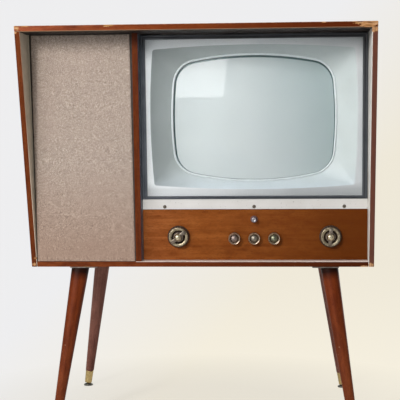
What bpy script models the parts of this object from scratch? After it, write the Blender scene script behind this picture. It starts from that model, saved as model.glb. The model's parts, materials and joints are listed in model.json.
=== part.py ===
"""A tube television of the early 1960s: a veneered cabinet with a forward-leaning front, on four
splayed tapered legs. Metres, +Z up, front towards -Y, origin on the floor under the middle."""

from math import atan2, cos, hypot, pi, radians, sin

import bmesh
import bpy
from mathutils import Matrix, Vector

# ---------------------------------------------------------------- driving dimensions
GAP = 0.0003  # clearance between pieces that rest on each other
ROUND = 16  # facets round an ordinary turned piece
FINE_ROUND = 20  # facets round the big knobs and the speaker
OUTLINE_STEPS = 2  # points along each arc of a quarter of a screen outline

CABINET_WIDTH = 0.819
CABINET_BASE_Z = 0.374
CABINET_TOP_Z = 0.933
BOARD = 0.013
BOARD_EDGE = 0.0008
LEFT_SIDE_SLANT = 0.010  # the left side is this much further out at the top
FRONT_BASE_Y = -0.186
FRONT_TOP_Y = -0.299
REAR_Y = 0.254
FLOOR_Z = CABINET_BASE_Z + BOARD
CEILING_Z = CABINET_TOP_Z - BOARD
RIGHT_INNER_X = CABINET_WIDTH / 2 - BOARD

DIVIDER_X = (-0.1494, -0.1351)
DIVIDER_FRONT_Y = (-0.190, -0.233)  # at the floor and at the ceiling of the bay
DIVIDER_REAR_Y = 0.020

GRILLE_FRONT_Y = (-0.188, -0.225)
GRILLE_LEAN = atan2(GRILLE_FRONT_Y[0] - GRILLE_FRONT_Y[1], CEILING_Z - FLOOR_Z)
CLOTH = 0.0015
BAFFLE = 0.009
SPEAKER_X = -0.268
SPEAKER_Z = 0.620
SPEAKER_RADIUS = 0.1015
BAFFLE_HOLE_RADIUS = 0.088

# The screen bay leans as one plane; x, depth and height below are measured from its foot.
BAY_X = 0.1295
BAY_Y = -0.153
BAY_LEAN = radians(4.5)
BAY_LEFT = DIVIDER_X[1] - BAY_X
BAY_RIGHT = RIGHT_INNER_X - BAY_X

CONTROL_PANEL_TOP = 0.1212
CONTROL_PANEL_THICK = 0.008
STRIP_HEIGHTS = (0.1224, 0.1458)
STRIP_PROUD = 0.0015
STRIP_SCREW_SPACING = 0.212
STRIP_SCREW_HEIGHT = 0.1285

BIG_KNOB_SPACING = 0.180
BIG_KNOB_HEIGHT = 0.0568
SMALL_KNOB_SPACING = 0.047
SMALL_KNOB_HEIGHT = 0.053
BUTTON_HEIGHT = 0.098
CHANNEL_POINTER = radians(40)
VOLUME_POINTER = radians(85)
SHAFT_RADIUS = 0.0030
SLEEVE_RADIUS = 0.0050
BRACKET_DEPTH = 0.030

GASKET_HEIGHTS = (0.1462, 0.5330)
GLASS_OPENING = (BAY_LEFT + 0.0125, BAY_RIGHT - 0.0125, 0.1545, 0.5245)
GASKET_DEPTH = 0.0126
GLASS_SLOT = (0.0030, 0.0096)
GLASS_BITE = 0.006  # how far the glass reaches into the gasket

SCREEN_HEIGHT = 0.3365
RECESS_HEIGHT = 0.3385
MASK_FACE = 0.0129
MASK_SHEET = 0.0025
RECESS = (0.2438, 0.1700, 1.75, 2.80, 0.006)  # half width, half height, side arcs, corner
APERTURE = (0.1972, 0.1521, 0.85, 0.75, 0.061)
TUBE_FACE = (0.2005, 0.1578, 0.85, 0.75, 0.061)
TUBE_SKIRT = (0.2025, 0.1598, 0.85, 0.75, 0.061)
FACE_CROWN = 0.022  # depth of the middle of the picture face
FACE_RADIUS = 0.75
NECK_RADIUS = 0.0185
NECK_END = 0.415
TUBE_FACE_GLASS = 0.008
TUBE_END = 0.425

COVER_FRONT_Y = REAR_Y + GAP
COVER_REAR_Y = COVER_FRONT_Y + 0.0032
CUP_FLANGE_Y = COVER_REAR_Y + GAP
CUP_REAR_Y = 0.299
CUP_HOLE_RADIUS = 0.046
AERIAL_AT = (-0.020, 0.480)
MAINS_AT = (0.330, 0.470)
VENT_ROWS = (0.420, 0.850, 0.872, 0.894)
VENT_COLUMNS = 7
VENT_PITCH = 0.100
VENT_SIZE = (0.070, 0.008)

CHASSIS_X = (0.005, 0.385)
CHASSIS_Y = (-0.075, 0.235)
DECK_Z = 0.445
SHEET = 0.0012

LEG_CENTRE_X = 0.010
LEG_TOP = (0.296, -0.162, 0.2025)  # half spacing, front y, rear y where the legs meet the cabinet
LEG_FOOT = (0.351, -0.214, 0.246)  # the same on the floor
LEG_TOP_RADIUS = 0.0208
LEG_END_RADIUS = 0.0112
PLATE = 0.0026
PLATE_OUTER = 0.0220  # how far a leg plate reaches past the leg's middle, outwards and inwards
PLATE_INNER = 0.0400
GLIDE_RADIUS = 0.0125
BALL_RADIUS = 0.0042
PIVOT_Z = 0.0125
FERRULE_BELOW_PIVOT = 0.0035
FERRULE_LENGTH = 0.034


# ---------------------------------------------------------------- tools
def clear_scene():
    for old in list(bpy.data.objects):
        bpy.data.objects.remove(old, do_unlink=True)


def material(name, colour, roughness, metallic=0.0, alpha=1.0):
    made = bpy.data.materials.new(name)
    made.use_nodes = True
    shader = made.node_tree.nodes["Principled BSDF"]
    shader.inputs["Base Color"].default_value = (*colour, 1.0)
    shader.inputs["Roughness"].default_value = roughness
    shader.inputs["Metallic"].default_value = metallic
    shader.inputs["Alpha"].default_value = alpha
    return made


def empty(name, matrix):
    made = bpy.data.objects.new(name, None)
    made.matrix_world = matrix
    bpy.context.scene.collection.objects.link(made)
    return made


def add(name, bm, finish, parent=None, at=None, smooth=None):
    """An object from a bmesh, placed in its parent's frame."""
    bmesh.ops.recalc_face_normals(bm, faces=bm.faces)
    mesh = bpy.data.meshes.new(name)
    bm.to_mesh(mesh)
    bm.free()
    mesh.materials.append(finish)
    if smooth is not None:
        mesh.shade_smooth()
        mesh.set_sharp_from_angle(angle=radians(smooth))
    made = bpy.data.objects.new(name, mesh)
    bpy.context.scene.collection.objects.link(made)
    made.parent = parent
    if at is not None:
        made.matrix_local = at
    return made


def guide(name, bm, parent=None, at=None):
    """A solid that only shapes another one."""
    made = add(name, bm, FINISH["steel"], parent, at)
    made.hide_render = True
    made.display_type = "WIRE"
    return made


def shape(target, tool, operation):
    step = target.modifiers.new(tool.name, "BOOLEAN")
    step.object = tool
    step.operation = operation
    step.solver = "EXACT"


def soften(target, width):
    edge = target.modifiers.new("edges", "BEVEL")
    edge.width = width
    edge.segments = 1
    edge.limit_method = "ANGLE"
    edge.angle_limit = radians(40)


def loft(rings, closed=False):
    """Rings of the same number of points, bridged in order; the ends are capped unless it closes."""
    bm = bmesh.new()
    loops = [[bm.verts.new(point) for point in ring] for ring in rings]
    pairs = list(zip(loops, loops[1:] + loops[:1])) if closed else list(zip(loops, loops[1:]))
    for first, second in pairs:
        for i in range(len(first)):
            j = (i + 1) % len(first)
            bm.faces.new((first[i], first[j], second[j], second[i]))
    if not closed:
        bm.faces.new(reversed(loops[0]))
        bm.faces.new(loops[-1])
    return bm


def turned(profile, facets=ROUND, closed=False):
    """A profile of (radius, height) turned about Z; radius 0 makes a pole, closed joins the ends."""
    bm = bmesh.new()
    rings = []
    for radius, height in profile:
        if radius == 0:
            rings.append([bm.verts.new((0, 0, height))])
            continue
        turns = [2 * pi * i / facets for i in range(facets)]
        rings.append([bm.verts.new((radius * cos(t), radius * sin(t), height)) for t in turns])
    pairs = list(zip(rings, rings[1:] + rings[:1])) if closed else list(zip(rings, rings[1:]))
    for first, second in pairs:
        if len(first) == 1 and len(second) == 1:
            continue
        for i in range(facets):
            j = (i + 1) % facets
            corners = [first[i % len(first)], first[j % len(first)]]
            corners += [second[j % len(second)], second[i % len(second)]]
            unique = [v for k, v in enumerate(corners) if v not in corners[:k]]
            bm.faces.new(unique)
    return bm


def box(low, high):
    corners = ((low[0], low[1]), (high[0], low[1]), (high[0], high[1]), (low[0], high[1]))
    return loft([[(x, y, z) for x, y in corners] for z in (low[2], high[2])])


def boxes(spans):
    """Several separate boxes in one mesh, for cutting."""
    bm = bmesh.new()
    for low, high in spans:
        piece = box(low, high)
        mesh = bpy.data.meshes.new("span")
        piece.to_mesh(mesh)
        piece.free()
        bm.from_mesh(mesh)
        bpy.data.meshes.remove(mesh)
    return bm


def prism(outline, low, high):
    """An outline of (x, y) drawn up from low to high."""
    return loft([[(x, y, z) for x, y in outline] for z in (low, high)])


def between(pair, z):
    """The value at height z of something straight from the bay's floor to its ceiling."""
    return pair[0] + (pair[1] - pair[0]) * (z - FLOOR_Z) / (CEILING_Z - FLOOR_Z)


def rise(z):
    return (z - CABINET_BASE_Z) / (CABINET_TOP_Z - CABINET_BASE_Z)


def left_x(z):
    return -CABINET_WIDTH / 2 + LEFT_SIDE_SLANT * (1 - rise(z))


def front_y(z):
    return FRONT_BASE_Y + (FRONT_TOP_Y - FRONT_BASE_Y) * rise(z)


def sheet_between(zs, low_x, high_x, near_y, far_y):
    """A board whose edges are functions of height."""
    rings = []
    for z in zs:
        left, right, near, far = low_x(z), high_x(z), near_y(z), far_y(z)
        rings.append([(left, near, z), (right, near, z), (right, far, z), (left, far, z)])
    return loft(rings)


def outward(x, height):
    """The frame of a control: its Z points out of the bay's face, its origin on the face."""
    return Matrix.Translation((x, 0, height)) @ Matrix.Rotation(radians(90), 4, "X")


def backward(x, depth, height):
    """A frame whose Z points straight into the cabinet along the bay's depth."""
    return Matrix.Translation((x, depth, height)) @ Matrix.Rotation(radians(-90), 4, "X")


def screen_outline(half_width, half_height, side_radius, top_radius, corner):
    """A bulging rectangle: long arcs on its four sides, joined by tangent corner arcs."""
    side_centre = Vector((half_width - side_radius, 0))
    top_centre = Vector((0, half_height - top_radius))
    near, far = side_radius - corner, top_radius - corner
    span = top_centre - side_centre
    along = (near * near - far * far + span.length_squared) / (2 * span.length)
    across = (near * near - along * along) ** 0.5
    unit = span.normalized()
    corner_centre = side_centre + unit * along + Vector((unit.y, -unit.x)) * across
    if corner_centre.x < 0 or corner_centre.y < 0:
        corner_centre = side_centre + unit * along - Vector((unit.y, -unit.x)) * across
    low = atan2(corner_centre.y, corner_centre.x - side_centre.x)
    high = atan2(corner_centre.y - top_centre.y, corner_centre.x)
    arcs = (
        (side_centre, side_radius, 0, low, OUTLINE_STEPS),
        (corner_centre, corner, low, high, 2 * OUTLINE_STEPS),
        (top_centre, top_radius, high, pi / 2, OUTLINE_STEPS),
    )
    quarter = []
    for centre, radius, start, end, steps in arcs:
        for i in range(steps):
            turn = start + (end - start) * i / steps
            quarter.append((centre.x + radius * cos(turn), centre.y + radius * sin(turn)))
    quarter.append((0.0, half_height))
    mirrored = [(-x, y) for x, y in reversed(quarter[:-1])]
    upper = quarter + mirrored
    return upper + [(x, -y) for x, y in reversed(upper[1:-1])]


def screen_ring(dims, height, depth, scale=1.0):
    """A screen outline in the bay; depth is a number or a function of x and height."""
    ring = []
    for x, z in screen_outline(*dims):
        x, z = x * scale, z * scale
        ring.append((x, depth(x, z) if callable(depth) else depth, height + z))
    return ring


def grown(dims, margin):
    return (dims[0] + margin, dims[1] + margin, dims[2], dims[3], dims[4] + margin)


def rectangle_ring(left, right, bottom, top, depth):
    return [(right, depth, bottom), (right, depth, top), (left, depth, top), (left, depth, bottom)]


def face_depth(x, z):
    return FACE_CROWN + (x * x + z * z) / (2 * FACE_RADIUS)


# ---------------------------------------------------------------- cabinet
def make_cabinet():
    wood = FINISH["veneer"]
    right = lambda z: CABINET_WIDTH / 2
    rear = lambda z: REAR_Y
    panels = {
        "top_panel": ((CEILING_Z, CABINET_TOP_Z), left_x, right),
        "left_side_panel": ((CABINET_BASE_Z, CEILING_Z - GAP), left_x, lambda z: left_x(z) + BOARD),
        "right_side_panel": ((CABINET_BASE_Z, CEILING_Z - GAP), lambda z: RIGHT_INNER_X, right),
        "bottom_panel": (
            (CABINET_BASE_Z, FLOOR_Z),
            lambda z: left_x(z) + BOARD + GAP,
            lambda z: RIGHT_INNER_X - GAP,
        ),
    }
    for name, (heights, low_x, high_x) in panels.items():
        soften(add(name, sheet_between(heights, low_x, high_x, front_y, rear), wood), BOARD_EDGE)
    divider = sheet_between(
        (FLOOR_Z + GAP, CEILING_Z - GAP),
        lambda z: DIVIDER_X[0],
        lambda z: DIVIDER_X[1],
        lambda z: between(DIVIDER_FRONT_Y, z),
        lambda z: DIVIDER_REAR_Y,
    )
    soften(add("divider_panel", divider, wood), BOARD_EDGE)


# ---------------------------------------------------------------- speaker bay
def make_speaker_bay():
    heights = (FLOOR_Z + GAP, CEILING_Z - GAP)
    low_x = lambda z: left_x(z) + BOARD + GAP
    high_x = lambda z: DIVIDER_X[0] - GAP
    cloth_y = lambda z: between(GRILLE_FRONT_Y, z)
    baffle_y = lambda z: cloth_y(z) + CLOTH + GAP
    baffle_rear_y = lambda z: baffle_y(z) + BAFFLE
    cloth = sheet_between(heights, low_x, high_x, cloth_y, lambda z: cloth_y(z) + CLOTH)
    add("grille_cloth", cloth, FINISH["cloth"])
    board = sheet_between(heights, low_x, high_x, baffle_y, baffle_rear_y)
    baffle = add("speaker_baffle", board, FINISH["plywood"])
    lean = Matrix.Rotation(GRILLE_LEAN, 4, "X") @ Matrix.Rotation(radians(-90), 4, "X")
    mount = Matrix.Translation((SPEAKER_X, baffle_rear_y(SPEAKER_Z), SPEAKER_Z)) @ lean
    speaker = empty("speaker_axis", mount)
    reach = 2 * BAFFLE
    radius = BAFFLE_HOLE_RADIUS
    hole = turned([(0, -reach), (radius, -reach), (radius, reach), (0, reach)], FINE_ROUND)
    shape(baffle, guide("speaker_hole_guide", hole, speaker), "DIFFERENCE")

    back, wall = 0.058, 0.0014
    basket = [
        (BAFFLE_HOLE_RADIUS, 0.0005),
        (SPEAKER_RADIUS, 0.0005),
        (SPEAKER_RADIUS, 0.0005 + wall),
        (BAFFLE_HOLE_RADIUS + 0.003, 0.0005 + wall),
        (BAFFLE_HOLE_RADIUS + 0.001, 0.014),
        (0.044, back - 0.004),
        (0.041, back),
        (0.0160, back),
        (0.0160, back - wall),
        (0.040, back - wall),
        (0.0425, back - 0.005),
        (BAFFLE_HOLE_RADIUS - 0.0005, 0.0135),
    ]
    frame = turned(basket, FINE_ROUND, closed=True)
    frame = add("speaker_basket", frame, FINISH["steel"], speaker, smooth=35)
    windows = []
    for i in range(4):
        turn = Matrix.Rotation(radians(45 + 90 * i), 4, "Z")
        window = box((0.050, -0.020, 0.018), (0.100, 0.020, 0.046))
        bmesh.ops.transform(window, matrix=turn, verts=window.verts)
        windows.append(guide(f"basket_window_guide_{i + 1}", window, speaker))
    for window in windows:
        shape(frame, window, "DIFFERENCE")
    magnet = [(0, back + GAP), (0.033, back + GAP), (0.035, back + 0.003), (0.035, back + 0.022)]
    magnet += [(0.033, back + 0.024), (0, back + 0.024)]
    add("speaker_magnet", turned(magnet), FINISH["steel"], speaker, smooth=35)
    paper = 0.0012
    cone = [
        (0, 0.033),
        (0.010, 0.0345),
        (0.0150, 0.0385),
        (0.080, 0.0080),
        (0.0845, 0.0080),
        (0.0845, 0.0080 + paper),
        (0.0805, 0.0080 + paper),
        (0.0150, 0.0402),
        (0.0128, 0.0402),
        (0.0128, 0.0540),
        (0, 0.0540),
    ]
    add("speaker_cone", turned(cone, FINE_ROUND), FINISH["paper"], speaker, smooth=35)


# ---------------------------------------------------------------- screen bay
def make_glass_and_mask(bay):
    left, right, low, high = GLASS_OPENING
    outer_left, outer_right = BAY_LEFT + GAP, BAY_RIGHT - GAP
    near, far = GLASS_SLOT

    def opening(depth, bite=0.0):
        return rectangle_ring(left - bite, right + bite, low - bite, high + bite, depth)

    def outer(depth):
        return rectangle_ring(outer_left, outer_right, *GASKET_HEIGHTS, depth)

    rings = [opening(0), outer(0), outer(GASKET_DEPTH), opening(GASKET_DEPTH)]
    rings += [opening(far), opening(far, GLASS_BITE), opening(near, GLASS_BITE), opening(near)]
    add("glass_gasket", loft(rings, closed=True), FINISH["rubber"], bay)
    pane = [opening(depth, GLASS_BITE - GAP) for depth in (near + GAP, far - GAP)]
    add("safety_glass", loft(pane), FINISH["glass"], bay)

    border = ((BAY_RIGHT - BAY_LEFT) / 2 - 0.004, 0.1925, 60.0, 60.0, 0.0015)
    border_height = 0.3390
    lip = lambda x, z: face_depth(x, z) - MASK_SHEET - 0.0030
    inner_lip = lambda x, z: face_depth(x, z) - 0.0010
    mask = [
        screen_ring(border, border_height, MASK_FACE),
        screen_ring(RECESS, RECESS_HEIGHT, MASK_FACE),
        screen_ring(APERTURE, SCREEN_HEIGHT, lip),
        screen_ring(grown(APERTURE, -0.005), SCREEN_HEIGHT, inner_lip),
        screen_ring(grown(APERTURE, -0.003), SCREEN_HEIGHT, inner_lip),
        screen_ring(grown(APERTURE, 0.0015), SCREEN_HEIGHT, inner_lip),
        screen_ring(grown(RECESS, 0.0012), RECESS_HEIGHT, MASK_FACE + MASK_SHEET),
        screen_ring(border, border_height, MASK_FACE + MASK_SHEET),
    ]
    add("picture_mask", loft(mask, closed=True), FINISH["mask"], bay, smooth=30)


def hollow_of_tube(skirt):
    """The inside of the bulb, from the open end of the neck back to the inner picture face."""
    rings = []
    hollow = (
        (TUBE_END, 0.0165, 1.0),
        (0.243, 0.0175, 1.0),
        (0.190, 0.077, 0.75),
        (0.092, 0.182, 0.1),
        (0.066, 0.190, 0.0),
    )
    for depth, reach, roundness in hollow:
        ring = []
        for x, z in skirt:
            circle = reach / hypot(x, z)
            factor = reach / TUBE_SKIRT[0] * (1 - roundness) + circle * roundness
            ring.append((x * factor, depth, SCREEN_HEIGHT + z * factor))
        rings.append(ring)
    inner_face = lambda x, z: face_depth(x, z) + TUBE_FACE_GLASS
    rings += [screen_ring(TUBE_FACE, SCREEN_HEIGHT, inner_face, scale) for scale in (0.92, 0.5)]
    return rings


def make_picture_tube(bay):
    rings = [screen_ring(TUBE_FACE, SCREEN_HEIGHT, face_depth, scale) for scale in (0.3, 0.7, 1.0)]
    rings.append(screen_ring(TUBE_SKIRT, SCREEN_HEIGHT, lambda x, z: face_depth(x, z) + 0.006))
    rings += [screen_ring(TUBE_SKIRT, SCREEN_HEIGHT, depth) for depth in (0.0615, 0.083)]
    skirt = screen_outline(*TUBE_SKIRT)
    funnel = ((0.096, 0.95, 0.06), (0.140, 0.72, 0.33), (0.190, 0.43, 0.70), (0.232, 0.20, 1.0))
    for depth, scale, roundness in funnel:
        ring = []
        for x, z in skirt:
            reach = hypot(x, z)
            circle = scale * TUBE_SKIRT[0] * 0.92 / reach
            factor = scale * (1 - roundness) + circle * roundness
            ring.append((x * factor, depth, SCREEN_HEIGHT + z * factor))
        rings.append(ring)
    base = NECK_RADIUS + 0.0020
    neck = [(0.243, 0.0215), (0.251, NECK_RADIUS), (NECK_END, NECK_RADIUS)]
    neck += [(NECK_END, base), (TUBE_END, base)]
    for depth, radius in neck:
        factors = [radius / hypot(x, z) for x, z in skirt]
        rings.append([(x * f, depth, SCREEN_HEIGHT + z * f) for (x, z), f in zip(skirt, factors)])
    rings += hollow_of_tube(skirt)
    add("picture_tube", loft(rings), FINISH["tube"], bay, smooth=35)

    inner, outer = grown(TUBE_SKIRT, 0.0006), grown(TUBE_SKIRT, 0.0022)
    strap = [screen_ring(inner, SCREEN_HEIGHT, 0.062), screen_ring(outer, SCREEN_HEIGHT, 0.062)]
    strap += [screen_ring(outer, SCREEN_HEIGHT, 0.081), screen_ring(inner, SCREEN_HEIGHT, 0.081)]
    band = add("tube_band", loft(strap, closed=True), FINISH["steel"], bay, smooth=35)
    core = [screen_ring(inner, SCREEN_HEIGHT, 0.055), screen_ring(inner, SCREEN_HEIGHT, 0.070)]
    core_guide = guide("band_core_guide", loft(core), bay)
    for i, (side, end) in enumerate(((1, 1), (-1, 1), (-1, -1), (1, -1))):
        low = (side * 0.180 - 0.016, 0.0622, SCREEN_HEIGHT + end * 0.138 - 0.018)
        high = (side * 0.180 + 0.016, 0.0642, SCREEN_HEIGHT + end * 0.138 + 0.018)
        ear = guide(f"band_ear_guide_{i + 1}", box(low, high), bay)
        shape(ear, core_guide, "DIFFERENCE")
        shape(band, ear, "UNION")

    axis = backward(0, 0, SCREEN_HEIGHT)
    yoke = [(NECK_RADIUS + 0.0008, 0.254), (0.036, 0.254), (0.050, 0.258), (0.050, 0.263), (0.040, 0.268)]
    yoke += [(0.037, 0.300), (0.044, 0.304), (0.044, 0.308), (NECK_RADIUS + 0.0008, 0.308)]
    add("deflection_yoke", turned(yoke, closed=True), FINISH["copper"], bay, axis, smooth=35)
    profile = [(0, GAP), (0.0195, GAP), (0.0210, 0.0018), (0.0210, 0.012)]
    profile += [(0.0130, 0.014), (0.0130, 0.022), (0, 0.022)]
    socket = [(radius, TUBE_END + behind) for radius, behind in profile]
    add("tube_socket", turned(socket), FINISH["bakelite"], bay, axis, smooth=35)


def make_retainer_strip(bay):
    heights, left, right = STRIP_HEIGHTS, BAY_LEFT + GAP, BAY_RIGHT - GAP
    bar = box((left, -STRIP_PROUD, heights[0]), (right, 0.008, heights[1]))
    strip = add("retainer_strip", bar, FINISH["cream"], bay)
    shank, head = 0.0018, 0.0040
    holes = []
    for i, name in enumerate(("left", "middle", "right")):
        at = outward((i - 1) * STRIP_SCREW_SPACING, STRIP_SCREW_HEIGHT)
        hole = turned([(0, -0.020), (shank + GAP, -0.020), (shank + GAP, 0.010), (0, 0.010)], 12)
        holes.append(guide(f"strip_screw_hole_guide_{name}", hole, bay, at))
        seat = STRIP_PROUD + GAP
        screw = [(0, -0.013), (shank, -0.011), (shank, seat), (head, seat), (head, seat + 0.0006)]
        screw += [(head * 0.7, seat + 0.0016), (0, seat + 0.0020)]
        add(f"strip_screw_{name}", turned(screw, 12), FINISH["dark_metal"], bay, at, smooth=35)
    for hole in holes:
        shape(strip, hole, "DIFFERENCE")


# ---------------------------------------------------------------- controls
def big_ring(name, bay, at):
    """The outer control: a skirt with a metal-faced ring round a bowl, on a hollow sleeve."""
    bore = SHAFT_RADIUS + 0.0004
    ring = [
        (bore, -0.0160),
        (SLEEVE_RADIUS, -0.0160),
        (SLEEVE_RADIUS, 0.0008),
        (0.0262, 0.0008),
        (0.0262, 0.0042),
        (0.0229, 0.0066),
        (0.0229, 0.0126),
        (0.0219, 0.0134),
        (0.0190, 0.0134),
        (0.0178, 0.0048),
        (bore, 0.0048),
    ]
    add(name, turned(ring, FINE_ROUND, closed=True), FINISH["brass"], bay, at, smooth=30)


def bar_knob(name, bay, at, pointer, shaft_end):
    """The inner control: a disc in the bowl, a bar handle across it and a domed cap."""
    knob = [
        (0, 0.0238),
        (0.0038, 0.0232),
        (0.0066, 0.0214),
        (0.0082, 0.0188),
        (0.0082, 0.0160),
        (0.0100, 0.0150),
        (0.0150, 0.0086),
        (0.0165, 0.0076),
        (0.0165, 0.0056),
        (SHAFT_RADIUS, 0.0056),
        (SHAFT_RADIUS, -shaft_end),
        (0, -shaft_end),
    ]
    made = add(name, turned(knob, FINE_ROUND), FINISH["brass"], bay, at, smooth=30)
    lower_edge = [(-0.0215, -0.0034), (-0.0205, -0.0042), (0, -0.0050), (0.0205, -0.0042), (0.0215, -0.0034)]
    handle = prism(lower_edge + [(x, -y) for x, y in reversed(lower_edge)], 0.0142, 0.0190)
    turn = Matrix.Rotation(pointer, 4, "Z")
    bmesh.ops.transform(handle, matrix=turn, verts=handle.verts)
    shape(made, guide(f"{name}_bar_guide", handle, bay, at), "UNION")
    return made


def small_knob(name, bay, at):
    knob = [
        (0, 0.0142),
        (0.0055, 0.0133),
        (0.0093, 0.0100),
        (0.0100, 0.0086),
        (0.0112, 0.0086),
        (0.0120, 0.0128),
        (0.0138, 0.0122),
        (0.0138, 0.0012),
        (SHAFT_RADIUS, 0.0012),
        (SHAFT_RADIUS, -BRACKET_DEPTH + 0.0006),
        (0, -BRACKET_DEPTH + 0.0006),
    ]
    add(name, turned(knob), FINISH["brass"], bay, at, smooth=30)


def make_controls(bay):
    panel = box((BAY_LEFT + GAP, 0, 0.0004), (BAY_RIGHT - GAP, CONTROL_PANEL_THICK, CONTROL_PANEL_TOP))
    board = add("control_panel", panel, FINISH["veneer"], bay)
    tuner_at = outward(-BIG_KNOB_SPACING, BIG_KNOB_HEIGHT)
    volume_at = outward(BIG_KNOB_SPACING, BIG_KNOB_HEIGHT)
    button_at = outward(0, BUTTON_HEIGHT)
    small = {
        "contrast_knob": outward(-SMALL_KNOB_SPACING, SMALL_KNOB_HEIGHT),
        "brightness_knob": outward(0, SMALL_KNOB_HEIGHT),
        "vertical_hold_knob": outward(SMALL_KNOB_SPACING, SMALL_KNOB_HEIGHT),
    }
    bores = [(tuner_at, SLEEVE_RADIUS + 0.0010), (volume_at, SLEEVE_RADIUS + 0.0010)]
    bores += [(at, SHAFT_RADIUS + 0.0008) for at in (*small.values(), button_at)]
    for i, (at, radius) in enumerate(bores):
        bore = turned([(0, -0.020), (radius, -0.020), (radius, 0.010), (0, 0.010)], 16)
        shape(board, guide(f"panel_bore_guide_{i + 1}", bore, bay, at), "DIFFERENCE")

    big_ring("fine_tuning_ring", bay, tuner_at)
    bar_knob("channel_knob", bay, tuner_at, CHANNEL_POINTER, 0.0430)
    big_ring("tone_ring", bay, volume_at)
    bar_knob("volume_knob", bay, volume_at, VOLUME_POINTER, BRACKET_DEPTH - 0.0006)
    for name, at in small.items():
        small_knob(name, bay, at)
    stem = SHAFT_RADIUS
    button = [(0, 0.0122), (0.0022, 0.0124), (0.0034, 0.0136), (0.0052, 0.0136)]
    button += [(0.0061, 0.0124), (0.0062, 0.0042)]
    button += [(stem, 0.0042), (stem, -BRACKET_DEPTH + 0.0040), (0, -BRACKET_DEPTH + 0.0040)]
    add("push_button", turned(button), FINISH["chrome"], bay, button_at, smooth=30)

    make_bracket(bay, [*small.values(), button_at, volume_at])
    make_tuner(bay)


def make_bracket(bay, pot_frames):
    """A steel channel behind the panel that carries the potentiometers and the mains switch."""
    left, right, front = -0.075, 0.215, CONTROL_PANEL_THICK + GAP
    near, far = BRACKET_DEPTH, BRACKET_DEPTH + SHEET
    channel = [(left, front), (left + SHEET, front), (left + SHEET, near), (right - SHEET, near)]
    channel += [(right - SHEET, front), (right, front), (right, far), (left, far)]
    bracket = add("control_bracket", prism(channel, 0.006, 0.116), FINISH["steel"], bay)
    for i, at in enumerate(pot_frames):
        start, end = -BRACKET_DEPTH - SHEET / 2, -BRACKET_DEPTH - 0.014
        pot = turned([(0, start), (0.0115, start), (0.0115, end), (0, end)], 16)
        shape(bracket, guide(f"pot_guide_{i + 1}", pot, bay, at), "UNION")


def make_tuner(bay):
    """A screened box, open at the back, round the turret that carries the channel coils."""
    front, back, half = 0.042, 0.128, 0.0345
    centre_x, centre_z = -BIG_KNOB_SPACING, BIG_KNOB_HEIGHT
    inner = half - SHEET
    outline = lambda reach, depth: rectangle_ring(
        centre_x - reach, centre_x + reach, centre_z - reach, centre_z + reach, depth
    )
    rings = [outline(half, front), outline(half, back), outline(inner, back), outline(inner, front + SHEET)]
    case = add("tuner_box", loft(rings), FINISH["tin"], bay)
    at = outward(-BIG_KNOB_SPACING, BIG_KNOB_HEIGHT)
    port = turned([(0, -0.060), (0.0075, -0.060), (0.0075, -0.030), (0, -0.030)], 16)
    shape(case, guide("tuner_port_guide", port, bay, at), "DIFFERENCE")

    stub_front, drum_front, drum_back = -0.0433, -0.050, -0.122
    ribs = 12
    outline = []
    for i in range(ribs):
        for offset, radius in ((-0.30, 0.0300), (0.30, 0.0300), (0.38, 0.0272), (0.62, 0.0272)):
            turn = 2 * pi * (i + offset) / ribs
            outline.append((radius * cos(turn), radius * sin(turn)))
    hub = []
    for x, y in outline:
        turn = atan2(y, x)
        hub.append((SHAFT_RADIUS * 1.5 * cos(turn), SHAFT_RADIUS * 1.5 * sin(turn)))
    rings = [[(x, y, stub_front) for x, y in hub], [(x, y, drum_front) for x, y in hub]]
    rings += [[(x, y, drum_front) for x, y in outline], [(x, y, drum_back) for x, y in outline]]
    add("turret_drum", loft(rings), FINISH["tin"], bay, at)


# ---------------------------------------------------------------- chassis
def valve(name, x, y, height):
    glass = [(0, 0), (0.0108, 0), (0.0108, 0.004), (0.0098, 0.0055), (0.0098, height * 0.80)]
    glass += [(0.0082, height * 0.89), (0.0040, height * 0.945), (0.0012, height), (0, height)]
    at = Matrix.Translation((x, y, DECK_Z + GAP))
    add(name, turned(glass), FINISH["tube"], None, at, smooth=35)


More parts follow.
